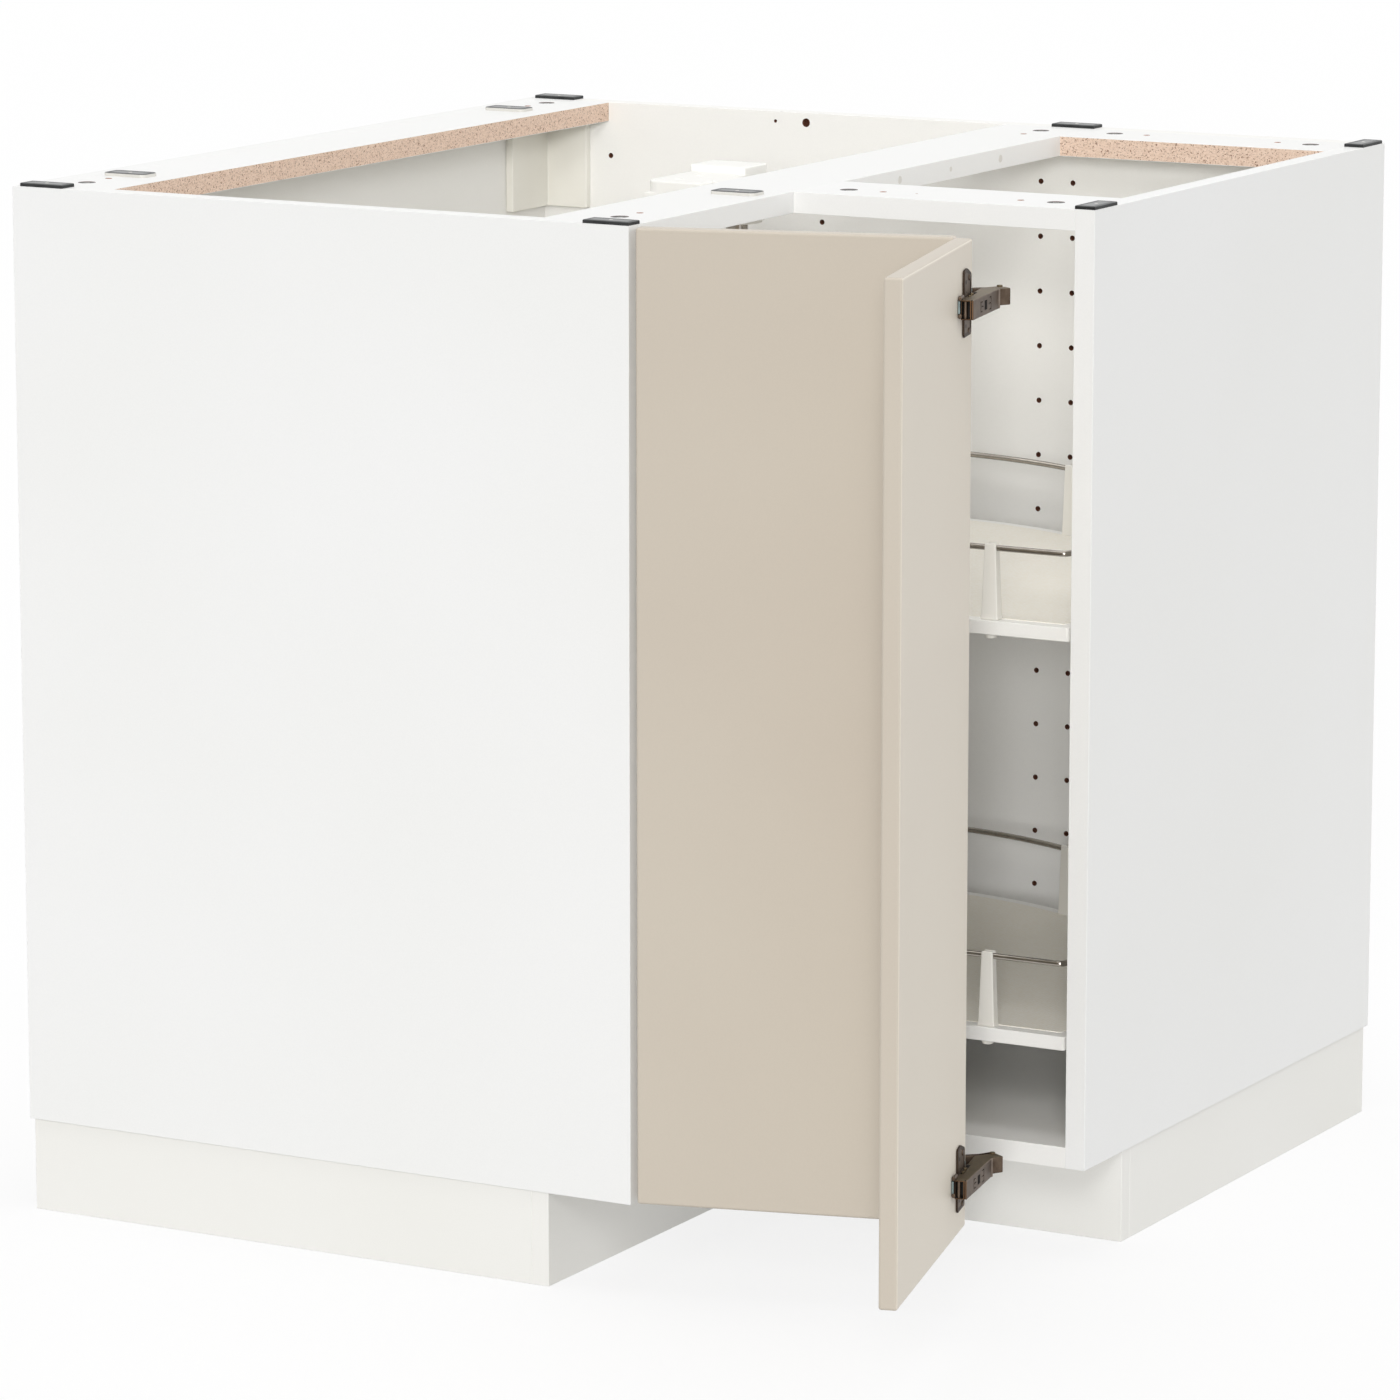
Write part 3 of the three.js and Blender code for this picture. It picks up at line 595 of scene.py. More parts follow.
leg = {
    "profile": [
        (0, 0), (24, 0), (27.2, 0.8), (28, 2.4), (28, 9.5), (26.5, 11.2), (22, 12), (17.5, 14.5), (16, 18),
        (16, 30), (15.2, 30.4), (15.2, 31.8), (16, 32.2), (16, 62), (17.5, 69), (21, 73.4), (28.6, 74),
        (30, 75), (30, 80), (0, 80),
    ],
    "sides": 48,
    "places": ("front_left", "front_inner", "rear_left", "rear_right", "front_right", "centre"),
}


def addLegs():
    for place in leg["places"]:
        node = "leg_" + place
        low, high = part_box(node)
        centre = Vector(((low.x + high.x) / 2, (low.y + high.y) / 2, 0))
        bm = turnedMesh(centre, leg["profile"], leg["sides"])
        dress(node, "moulding", meshOf(bm, ["black"]))


pads = {
    "count": 9,
    "flatRounding": 1.0,
    "roundedCorner": 5.0,
    "rounded": (2, 3, 6),
    "rim": 3.2,
    "slope": 0.3,
    "dish": 0.15,
    "pip": (2.0, 1.4, 0.14),  # its radius below, its radius above and its rise
}


# A metal cap with a slightly dished face inside a darker rim, and a small pip where it is pinned; the rim
# and the square caps' sides are painted shade.
def addPads():
    for number in range(1, pads["count"] + 1):
        node = "worktop_pad_" + str(number)
        low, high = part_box(node)
        bm = boxMesh(low, high)
        rounded = number in pads["rounded"]
        if rounded:
            soften(bm, pads["roundedCorner"], 6, edgesAlong(bm, 2))
        setFinish(bm.faces, 3 if rounded else 2)
        top = facing(bm, up)
        setFinish(top, 1)
        soften(bm, pads["flatRounding"], 3, list({edge for face in top for edge in face.edges}))
        setFinish(facing(bm, up, 0.3), 1)
        top = facing(bm, up, 0.9999)
        inset(bm, top, pads["rim"])
        inset(bm, top, pads["slope"], -pads["dish"])
        setFinish(top, 0)
        radius, tip, rise = pads["pip"]
        middle = Vector(((low.x + high.x) / 2, (low.y + high.y) / 2, high.z - rise * mm))
        setFinish(facesOf(addCylinder(bm, middle, radius, 2 * rise, 20, up, tip)), 3)
        mesh = meshOf(bm, ["pad", "padRimShade", "padSideShade", "padWall"])
        dress(node, "cap", mesh)


cornerAngle()
addLegs()
addPads()
print("corner angle, legs and pads made")

# ---- Doors ----

leaf = {"rounding": 2.2, "segments": 4}
cup = {
    "radius": 17.5,
    "depth": 12.0,
    "clearance": 0.3,
    "sides": 48,
    "inset": 22.5,
    "drumGap": 0.1,
    "wall": 1.2,
    "slope": 0.4,
    "floor": 1.4,
    "ear": (0.8, 8.5, 8.0),
    "earOffset": 19.5,
    "earCorner": 4.0,
    "screw": (0.7, 22.0, 3.0),  # how far out, how far up or down, and its radius
}
hingeHeights = {"lower": 126, "upper": 829}


def dressClosed(node, kind, mesh, body):
    mesh.transform(swing)
    dress(node, kind, mesh, body)


def doorLeaf(node, body, inner, bores=()):
    low, high = closedBox(node)
    bm = boxMesh(low, high)
    # The inner face takes the lighter copy of the lacquer, which is painted light.
    setFinish(facing(bm, inner), 2)
    soften(bm, leaf["rounding"], leaf["segments"])
    mesh = meshOf(bm, ["door", "chipboard", "doorBackLit"])
    if bores:
        cutter = bmesh.new()
        radius, depth = cup["radius"] + cup["clearance"], cup["depth"] + cup["clearance"]
        for bore in bores:
            drillFrom(cutter, bore, (1, 0, 0), radius, depth, cup["sides"])
        mesh = combine(mesh, cutter, "DIFFERENCE")
    dressClosed(node, "panel", mesh, body)


def cupPlaces():
    low, high = closedBox("door_leaf_1")
    rows = (low.y + cup["inset"] * mm, high.y - cup["inset"] * mm)
    return [Vector((low.x, y, z * mm)) for z in hingeHeights.values() for y in rows]


doorLeaf("door_leaf_1", "leaf_1", (-1, 0, 0), cupPlaces())
doorLeaf("door_leaf_2", "leaf_2", (0, 1, 0))
print("doors made")

# ---- Carousel ----

carousel = {
    "notchEdge": 93.0,
    "outerCorner": 3.0,
    "innerCorner": 6.0,
    "arcStep": 3.0,  # degrees between the points of the round edge, and of its corners
    "cornerStep": 15.0,
    "arris": 0.8,
    "border": 12.5,
    "matThickness": 0.6,
    "matClear": 20.0,
    "matInnerCorner": 10.0,
    "cutDepth": 30.0,
    "wireRadius": 2.5,
    "wireInset": 8.0,
    "wireHeight": 60.0,
    "wireOuterBend": 6.0,
    "wireInnerBend": 14.0,
    "postFromRim": 68.0,
    "postAngles": (64, 135, 206),
    "pin": 3.3,
    "hubSleeve": 16.3,
}
shelfRadius = max(abs(reach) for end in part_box("upper_shelf") for reach in end[:2]) / mm


def arcPoints(x, y, radius, first, last, step):
    count = max(2, math.ceil(abs(last - first) / step))
    turns = [math.radians(first + (last - first) * i / count) for i in range(count + 1)]
    return [(x + radius * math.cos(turn), y + radius * math.sin(turn)) for turn in turns]


# A shelf's outline about its axis, drawn inside its edge by an inset.
def shelfOutline(inset, outer, inner):
    reach = shelfRadius - inset
    edge = carousel["notchEdge"] - inset
    across = edge - outer
    along = math.sqrt((reach - outer) ** 2 - across ** 2)
    first = -math.degrees(math.atan2(across, along))
    points = arcPoints(along, -across, outer, -90, first, carousel["cornerStep"])
    points += arcPoints(0, 0, reach, first, 270 - first, carousel["arcStep"])[1:-1]
    points += arcPoints(across, -along, outer, 270 - first, 360, carousel["cornerStep"])
    points += arcPoints(edge + inner, -edge - inner, inner, 180, 90, carousel["cornerStep"])
    return [(x * mm, y * mm) for x, y in points]


def postPlaces():
    edge = carousel["notchEdge"] - carousel["wireInset"]
    reach = shelfRadius - carousel["wireInset"]
    onNotch = math.sqrt(reach ** 2 - edge ** 2) - carousel["postFromRim"]
    places = [(onNotch, -edge, 0.0)]
    for degrees in carousel["postAngles"]:
        turn = math.radians(degrees)
        places.append((reach * math.cos(turn), reach * math.sin(turn), turn + math.pi / 2))
    return places + [(edge, -onNotch, math.pi / 2)]


def shelfPiece(tier):
    node = tier + "_shelf"
    low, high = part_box(node)
    bm = outlineMesh(shelfOutline(0, carousel["outerCorner"], carousel["innerCorner"]), low.z, high.z)
    soften(bm, carousel["arris"], 2, levelEdges(bm))
    mesh = meshOf(bm, ["shelf"])
    middle = (low.z + high.z) / 2
    cutter = bmesh.new()
    for x, y, _ in postPlaces():
        addCylinder(cutter, Vector((x * mm, y * mm, middle)), carousel["pin"], carousel["cutDepth"], 16)
    addCylinder(cutter, Vector((0, 0, middle)), carousel["hubSleeve"], carousel["cutDepth"], 48)
    dress(node, "board", combine(mesh, cutter, "DIFFERENCE"), node)


# The mat fills the shelf inside a plain border, and has a round opening for the hub.
def matPiece(tier):
    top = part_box(tier + "_shelf")[1].z
    outline = shelfOutline(carousel["border"], carousel["outerCorner"], carousel["matInnerCorner"])
    bm = outlineMesh(outline, top, top + carousel["matThickness"] * mm)
    mesh = meshOf(bm, ["mat"])
    cutter = cylinderMesh(Vector((0, 0, top)), carousel["matClear"], carousel["cutDepth"], 48)
    addPiece(tier + "_shelf_mat", combine(mesh, cutter, "DIFFERENCE"), tier + "_shelf")


# A closed loop of round wire, swept along its path as a curve.
def wireMesh(points, z, radius):
    curve = bpy.data.curves.new("wire", "CURVE")
    curve.dimensions = "3D"
    curve.bevel_depth = radius * mm
    curve.bevel_resolution = 3
    spline = curve.splines.new("POLY")
    spline.points.add(len(points) - 1)
    for point, (x, y) in zip(spline.points, points):
        point.co = (x, y, z, 1)
    spline.use_cyclic_u = True
    holder = bpy.data.objects.new("wire", curve)
    mesh = bpy.data.meshes.new_from_object(holder)
    bpy.data.objects.remove(holder)
    bpy.data.curves.remove(curve)
    mesh.materials.append(finish["chrome"])
    return mesh


def railPiece(tier):
    node = tier + "_shelf_rail"
    low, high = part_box(node)
    points = shelfOutline(carousel["wireInset"], carousel["wireOuterBend"], carousel["wireInnerBend"])
    mesh = wireMesh(points, (low.z + high.z) / 2, carousel["wireRadius"])
    dress(node, "wire", mesh, tier + "_shelf", 60)


post = {
    "base": (15.2, 9.3),
    "top": (10.3, 7.8),
    "flare": (1.07, 4.0),  # how far the foot spreads, and from what height down
    "height": 64.0,
    "rounding": 1.0,
    "slot": 2.7,
    "fork": (15.0, 20.0),  # how far the slot's cutter reaches each way and upwards
    "pin": (3.0, 0.5, 2.5),  # its radius, and how far it goes on above and below the shelf
    "cap": (4.6, 5.8, 3.2, 0.2),  # its radius below and above, its depth and its gap to the shelf
}


# The taper is rounded first; a cut across it then lets the foot spread out below that line.
def postShape():
    bm = bmesh.new()
    bmesh.ops.create_cube(bm, size=1)
    for vert in bm.verts:
        high = vert.co.z > 0
        width, depth = post["top"] if high else post["base"]
        height = post["height"] if high else 0
        vert.co = Vector((vert.co.x * width, vert.co.y * depth, height)) * mm
    soften(bm, post["rounding"], 3)
    spread, rise = post["flare"]
    whole = list(bm.verts) + list(bm.edges) + list(bm.faces)
    bmesh.ops.bisect_plane(bm, geom=whole, plane_co=Vector((0, 0, rise * mm)), plane_no=up)
    for vert in bm.verts:
        if vert.co.z < (rise - 0.1) * mm:
            vert.co.x *= spread
            vert.co.y *= spread
    return bm


# A tapered post: its top is forked over the wire, and its pin goes through the shelf to a cap below.
def postPiece(tier, number, x, y, turn):
    node = tier + "_shelf_post_" + str(number)
    shelfLow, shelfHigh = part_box(tier + "_shelf")
    thick = (shelfHigh.z - shelfLow.z) / mm
    slot, wire = post["slot"], carousel["wireHeight"]
    reach, rise = post["fork"]
    fork = boxMesh(Vector((-reach, -slot, wire)) * mm, Vector((reach, slot, wire + rise)) * mm)
    addCylinder(fork, Vector((0, 0, wire * mm)), slot, 2 * reach, 20, (1, 0, 0))
    mesh = combine(meshOf(postShape(), ["plastic"]), fork, "DIFFERENCE")
    pin = bmesh.new()
    radius, above, below = post["pin"]
    addCylinder(pin, Vector((0, 0, (above - below - thick) / 2 * mm)), radius, thick + above + below, 16)
    bottom, top, depth, gap = post["cap"]
    addCylinder(pin, Vector((0, 0, (-thick - gap - depth / 2) * mm)), bottom, depth, 28, up, top)
    mesh = combine(mesh, pin, "UNION")
    mesh.transform(Matrix.Translation((x * mm, y * mm, shelfHigh.z)) @ Matrix.Rotation(turn, 4, "Z"))
    dress(node, "moulding", mesh, tier + "_shelf")


hub = {
    "profile": [(9.8, -16), (44, -16), (45, -15), (45, -12), (16, -12), (16, 12.6), (14.8, 14), (9.8, 14)],
    "sides": 64,
}
pole = {
    "radius": 9.5,
    "arris": 0.6,
    "sides": 48,
    "collar": 15.0,
    "collarHeight": 8.0,
    "collarArris": 1.0,
    "hubGap": 0.3,
}
bearing = {
    "profile": [
        (0, 98), (49, 98), (50, 98.8), (50, 101), (48.8, 102), (24, 102.4), (21.5, 103.6), (20, 107),
        (20, 116.8), (18.8, 118), (9.8, 118), (9.8, 101), (0, 101),
    ],
    "sides": 64,
}


def hubPiece(tier):
    node = tier + "_shelf_hub"
    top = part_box(tier + "_shelf")[1].z
    bm = turnedMesh(Vector((0, 0, top)), hub["profile"], hub["sides"], closed=True)
    dress(node, "moulding", meshOf(bm, ["plastic"]), tier + "_shelf")


def polePiece():
    low, high = (place.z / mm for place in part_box("carousel_pole"))
    radius, arris = pole["radius"], pole["arris"]
    collar, collarArris = pole["collar"], pole["collarArris"]
    profile = [(0, low), (radius - arris, low), (radius, low + arris)]
    for tier in ("lower", "upper"):
        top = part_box(tier + "_shelf_hub")[0].z / mm - pole["hubGap"]
        bottom = top - pole["collarHeight"]
        profile += [(radius, bottom), (collar - collarArris, bottom), (collar, bottom + collarArris)]
        profile += [(collar, top - collarArris), (collar - collarArris, top), (radius, top)]
    profile += [(radius, high - arris), (radius - arris, high), (0, high)]
    bm = turnedMesh(Vector((0, 0, 0)), profile, pole["sides"])
    dress("carousel_pole", "tube", meshOf(bm, ["chrome"]))


def bottomBearing():
    bm = turnedMesh(Vector((0, 0, 0)), bearing["profile"], bearing["sides"])
    dress("bottom_bearing", "moulding", meshOf(bm, ["plastic"]))


for tier in ("lower", "upper"):
    shelfPiece(tier)
    matPiece(tier)
    railPiece(tier)
    hubPiece(tier)
    for number, (x, y, turn) in enumerate(postPlaces(), 1):
        postPiece(tier, number, x, y, turn)
polePiece()
bottomBearing()
print("carousel made")


# ---- Folding hinges between the leaves ----

fold = {
    "wing": [
        (12, -22.6), (13.6, -24.2), (36.4, -24.2), (39, -21.6), (39, 26.8), (37.4, 28.2), (28.5, 29.2),
        (26, 28.9), (14, 24.6), (12, 22.8),
    ],
    "wingDepths": (0.3, 1.8),
    "wingArris": 0.4,
    "wingRim": 2.4,
    "wingSlope": 0.5,
    "wingRecess": 0.45,
    "screws": [(19.5, 21.2), (19.5, -20.8)],
    "screwRadius": 2.7,
    "marks": [
        (30.5, 18.5, 3.4, 3.0), (28.5, 10.5, 2.2, 1.2), (30.5, -15.8, 3.0, 2.6), (26.0, -11.0, 2.0, 1.0),
    ],
    "markDepths": (-0.1, 0.05),
    "rail": [(2.5, 0.3, -7), (52, 1.8, 7)],
    "railArris": 0.3,
    "lobes": (8.9, -4.9),
    "lobePlace": (51.5, 1.9),
    "lobeRadius": 1.9,
    "lobeLength": 11.0,
    "lobeFlatness": 0.82,
    "lobeArris": 0.5,
    "slide": [(47, 0.3, -2.9), (57.4, 2.1, 6.9)],
    "tab": [(8, 0.3, 8.6), (11.7, 1.5, 11.4)],
    "tabArris": 0.25,
    "arm": [(-24, 2.3), (56.3, 2.3), (56.3, 12.5), (-18.5, 17.6), (-28, 8.1)],
    "armHeights": (-7.8, 7.9),
    "block": [(-14, 13.1), (-18.5, 17.6), (-26.5, 25.6), (-36.1, 16.1), (-24.4, 4.4)],
    "blockHeights": (-5.4, 7.9),
    "blockCorner": 1.5,
    "arris": 0.8,
    "ridge": (-18.7, 16.5, 1.9, 15.2),
    "ridgeArris": 0.6,
    "scoop": (-14.9, 29.2, 10.6, 30.0),
    "pocket": [(45, 3.1, -6.9), (58, 9.9, 7.1)],
    "seam": [(53.5, 10.7, -7.9), (58, 11.5, 8.1)],
    "rebate": [(54.8, 1, -9), (58, 2.6, 9)],
    "roller": (53.4, 5.6, 1.8, 13.4),
    "window": [(16.2, 10, -3.8), (23.6, 20, 3.8)],
    "grooves": [
        (34.6, 0, 1.3, 8.6), (30.6, 0, 5.5, 0.9), (31.9, 3.6, 4.0, 0.9), (31.9, -3.8, 4.0, 0.9),
        (5.2, 0, 1.3, 10.4), (9.2, 0, 5.5, 0.9), (8.0, 4.7, 4.4, 0.9), (8.0, -4.7, 4.4, 0.9),
    ],
    "grooveDepth": 0.5,
    "grooveReach": 4.0,
    "notch": [(7, 1.9, 2.5), (37, 5.6, 9)],
    "bolts": [(13.5, 3.5, 1.1, 7.2), (20, 3.6, 1.5, 9.0), (27.5, 3.5, 1.2, 8.2), (-33.4, 15.0, 2.4, 9.0)],
    "boltFoot": 2.0,
    "boltArris": 0.4,
    "linkHeight": 6.9,
    "linkArris": 0.5,
    "linkWall": 1.3,
    "linkSlope": 0.2,
    "linkHollow": 4.0,
}
screw = {"height": 1.0, "taper": 0.8, "slotHalf": 0.11, "slotReach": 0.62, "slotDepth": 0.5, "proud": 0.02}
leafTwo = closedBox("door_leaf_2")
foldFinishes = ["bronze", "bronzeEdge", "bronzeShade", "bronzeTopLit", "zinc", "bronzeDeepShade", "bronzeHighlight"]
look = {name: index for index, name in enumerate(foldFinishes)}


# Places about a folding hinge: u along leaf 2 from its joint edge, v off its inner face, w up or down
# from the hinge's centre line at height z.
def atFold(u, v, w, z):
    return Vector((leafTwo[0].x + u * mm, leafTwo[1].y + v * mm, (z + w) * mm))


def foldBox(corners, z):
    return boxMesh(atFold(*corners[0], z), atFold(*corners[1], z))


def foldPlan(points, heights, z):
    bm = outlineMesh([(u * mm, v * mm) for u, v in points], heights[0] * mm, heights[1] * mm)
    bm.transform(Matrix.Translation(atFold(0, 0, 0, z)))
    return bm


def absorb(bm, other, index=0):
    if index is not None:
        setFinish(other.faces, index)
    bmesh.ops.recalc_face_normals(other, faces=other.faces)
    part = bpy.data.meshes.new("part")
    other.to_mesh(part)
    other.free()
    bm.from_mesh(part)
    bpy.data.meshes.remove(part)


# A screw head with a crossed recess, standing just proud of what it holds.
def screwHead(bm, centre, direction, radius, head, shade):
    out = Vector(direction)
    disc = cylinderMesh(centre, radius, screw["height"], 24, direction, radius * screw["taper"])
    absorb(bm, disc, head)
    side = out.orthogonal().normalized()
    foot = screw["height"] / 2 + screw["proud"] - screw["slotDepth"] * radius
    for across in (side, out.cross(side)):
        half = Vector((screw["slotHalf"], screw["slotReach"], 0)) * radius * mm
        arm = boxMesh(-half, half + Vector((0, 0, screw["slotDepth"])) * radius * mm)
        turn = Matrix((out.cross(across), across, out)).transposed().to_4x4()
        arm.transform(Matrix.Translation(centre + out * foot * mm) @ turn)
        absorb(bm, arm, shade)


def foldPlate(height, z):
    node = "bifold_hinge_plate_" + height
    near, far = fold["wingDepths"]
    wing = outlineMesh([(u * mm, w * mm) for u, w in fold["wing"]], -far * mm, -near * mm)
    wing.transform(Matrix.Translation(atFold(0, 0, 0, z)) @ Matrix.Rotation(math.pi / 2, 4, "X"))
    bmesh.ops.recalc_face_normals(wing, faces=wing.faces)
    rims = {edge for face in facing(wing, (0, 1, 0)) for edge in face.edges}
    soften(wing, fold["wingArris"], 2, list(rims))
    top = facing(wing, (0, 1, 0))
    inset(wing, top, fold["wingRim"])
    inset(wing, top, fold["wingSlope"], -fold["wingRecess"])
    # The wing's rim and edges take the darker painted-shade copy, its recess the plain bronze.
    setFinish(wing.faces, look["bronzeDeepShade"])
    setFinish(top, look["bronze"])
    bm = bmesh.new()
    absorb(bm, wing, None)
    inner, outer = (far - fold["wingRecess"] + depth for depth in fold["markDepths"])
    for u, w, long, tall in fold["marks"]:
        corners = ((u - long / 2, inner, w - tall / 2), (u + long / 2, outer, w + tall / 2))
        absorb(bm, foldBox(corners, z), look["bronzeShade"])
    rail = foldBox(fold["rail"], z)
    soften(rail, fold["railArris"])
    absorb(bm, rail)
    for w in fold["lobes"]:
        middle = atFold(*fold["lobePlace"], w, z)
        lobe = cylinderMesh(middle, fold["lobeRadius"], fold["lobeLength"], 20, (1, 0, 0))
        soften(lobe, fold["lobeArris"], 3, creases(lobe))
        flatter = (1, fold["lobeFlatness"], 1)
        bmesh.ops.scale(lobe, vec=flatter, verts=lobe.verts, space=Matrix.Translation(-middle))
        absorb(bm, lobe)
    for corners in (fold["slide"], fold["tab"]):
        part = foldBox(corners, z)
        soften(part, fold["tabArris"])
        absorb(bm, part, look["zinc"])
    for u, w in fold["screws"]:
        seat = atFold(u, far, w, z)
        screwHead(bm, seat, (0, 1, 0), fold["screwRadius"], look["bronze"], look["bronzeShade"])
    mesh = meshOf(bm, foldFinishes)
    dressClosed(node, "pressing", mesh, "leaf_2")


# The arm is a folded channel: an open end with a roller, an embossed side with a window, and a
# turned-off end whose front is hollowed.
def foldArm(height, z):
    node = "bifold_hinge_arm_" + height
    bm = foldPlan(fold["arm"], fold["armHeights"], z)
    soften(bm, fold["arris"], 3)
    block = foldPlan(fold["block"], fold["blockHeights"], z)
    soften(block, fold["blockCorner"], 4, edgesAlong(block, 2))
    soften(block, fold["arris"], 3, levelEdges(block))
    mesh = combine(meshOf(bm, foldFinishes), block, "UNION")
    u, v, radius, length = fold["ridge"]
    ridge = cylinderMesh(atFold(u, v, 0, z), radius, length, 28)
    soften(ridge, fold["ridgeArris"], 2, creases(ridge))
    # The ridge takes the lighter copy, a painted highlight.
    setFinish(ridge.faces, look["bronzeHighlight"])
    mesh = combine(mesh, ridge, "UNION")
    u, v, radius, length = fold["scoop"]
    cutter = cylinderMesh(atFold(u, v, sum(fold["blockHeights"]) / 2, z), radius, length, 64)
    # The hollowed front takes the darker copy, painted shade.
    setFinish(cutter.faces, look["bronzeDeepShade"])
    mesh = combine(mesh, cutter, "DIFFERENCE")
    cutter = bmesh.new()
    for corners in (fold["pocket"], fold["seam"], fold["window"], fold["notch"]):
        absorb(cutter, foldBox(corners, z), look["bronzeShade"])
    # The rebate and the grooves take the darker copy, painted shade.
    absorb(cutter, foldBox(fold["rebate"], z), look["bronzeDeepShade"])
    (nearU, nearV), (farU, farV) = fold["arm"][2:4]
    for u, w, length, tall in fold["grooves"]:
        side = nearV + (nearU - u) * (farV - nearV) / (nearU - farU)
        low = (u - length / 2, side - fold["grooveDepth"], w - tall / 2)
        high = (u + length / 2, side + fold["grooveReach"], w + tall / 2)
        absorb(cutter, foldBox((low, high), z), look["bronzeDeepShade"])
    mesh = combine(mesh, cutter, "DIFFERENCE")
    bm = bmesh.new()
    bm.from_mesh(mesh)
    bpy.data.meshes.remove(mesh)
    end = atFold(nearU - fold["arris"] / 2, 0, 0, z).x
    mouth = [face for face in facing(bm, (1, 0, 0), 0.9) if face.calc_center_median().x > end]
    setFinish(mouth, look["bronzeEdge"])
    # Upward faces of plain bronze take the lighter copy, painted light.
    above = [face for face in facing(bm, up, 0.95) if face.material_index == look["bronze"]]
    setFinish(above, look["bronzeTopLit"])
    u, v, radius, length = fold["roller"]
    absorb(bm, cylinderMesh(atFold(u, v, 0, z), radius, length, 24), look["bronze"])
    foot = fold["boltFoot"]
    # The bolts take the lighter painted-light copy all over.
    for u, v, radius, top in fold["bolts"]:
        bolt = cylinderMesh(atFold(u, v, (top + foot) / 2, z), radius, top - foot, 20)
        soften(bolt, fold["boltArris"], 2, creases(bolt))
        absorb(bm, bolt, look["bronzeTopLit"])
    mesh = meshOf(bm, foldFinishes)
    dressClosed(node, "channel", mesh, "leaf_2")


# A hinge cup: a hollow drum sunk in leaf 1, with a pair of ears screwed to the leaf.
def hingeCup(centre, extra=None):
    radius, depth = cup["radius"] - cup["drumGap"], cup["depth"] - cup["drumGap"]
    middle = centre + Vector((cup["depth"] / 2 * mm, 0, 0))
    drum = cylinderMesh(middle, radius, depth, cup["sides"], (1, 0, 0))
    mouth = facing(drum, (-1, 0, 0), 0.9)
    inset(drum, mouth, cup["wall"])
    inset(drum, mouth, cup["slope"], cup["floor"] - cup["depth"])
    bm = bmesh.new()
    absorb(bm, drum)
    thick, across, tall = cup["ear"]
    out, rise, screwRadius = cup["screw"]
    for side in (-1, 1):
        ear = boxMesh(Vector((-thick, -across, -tall)) * mm, Vector((0, across, tall)) * mm)
        ear.transform(Matrix.Translation(centre + Vector((0, 0, side * cup["earOffset"] * mm))))
        soften(ear, cup["earCorner"], 5, edgesAlong(ear, 0))
        absorb(bm, ear)
        screwHead(bm, centre + Vector((-out, 0, side * rise)) * mm, (-1, 0, 0), screwRadius, 0, 1)
    if extra is not None:
        absorb(bm, extra, 2)
    return meshOf(bm, ["zinc", "bronzeShade", "bronze"])


# The link starts in its cup and bends round the arm's tip; its middle is hollow above and below.
def foldLink(cupV, z):
    points = [
        (-10, cupV - 3.4), (-10, cupV + 3.4), (-16.1, cupV + 3.4), (-16.1, cupV + 17), (-28.4, 7.6),
        (-36.4, 15.8), (-41.2, 11), (-33.2, 3), (-23, cupV + 17), (-23, cupV - 3.4),
    ]
    bm = foldPlan(points, (-fold["linkHeight"], fold["linkHeight"]), z)
    soften(bm, fold["linkArris"], 2)
    for direction in (up, (0, 0, -1)):
        faces = facing(bm, direction)
        inset(bm, faces, fold["linkWall"])
        inset(bm, faces, fold["linkSlope"], -fold["linkHollow"])
    return bm


def cabinetCup(height, z):
    node = "cabinet_hinge_cup_" + height
    low, high = closedBox(node)
    centre = Vector((low.x, (low.y + high.y) / 2, z * mm))
    dressClosed(node, "pressing", hingeCup(centre), "leaf_1")


def foldCup(height, z):
    node = "bifold_hinge_cup_" + height
    low, high = closedBox("door_leaf_1")
    centre = Vector((low.x, high.y - cup["inset"] * mm, z * mm))
    link = foldLink((centre.y - leafTwo[1].y) / mm, z)
    dressClosed(node, "pressing", hingeCup(centre, link), "leaf_1")


# ---- Hinge arms on the left end panel ----

hingeArm = {
    "plate": (38.0, 2.2, 49.6),
    "plateCorner": 8.0,
    "plateScrews": (19.0, 16.0, 3.6),  # how far along, how far up or down, and their radius
    "height": 15.8,
    "gap": 0.1,
    "back": 2.6,
    "slope": 9.0,
    "heelGap": 2.0,
    "tip": 1.7,
    "tipGap": 0.2,
    "chamfer": 5.0,
    "arris": 1.0,
    "plateArris": 0.5,
    "screws": (12.0, 30.0),
    "screwRadius": 3.2,
    "screwSink": 0.3,
}


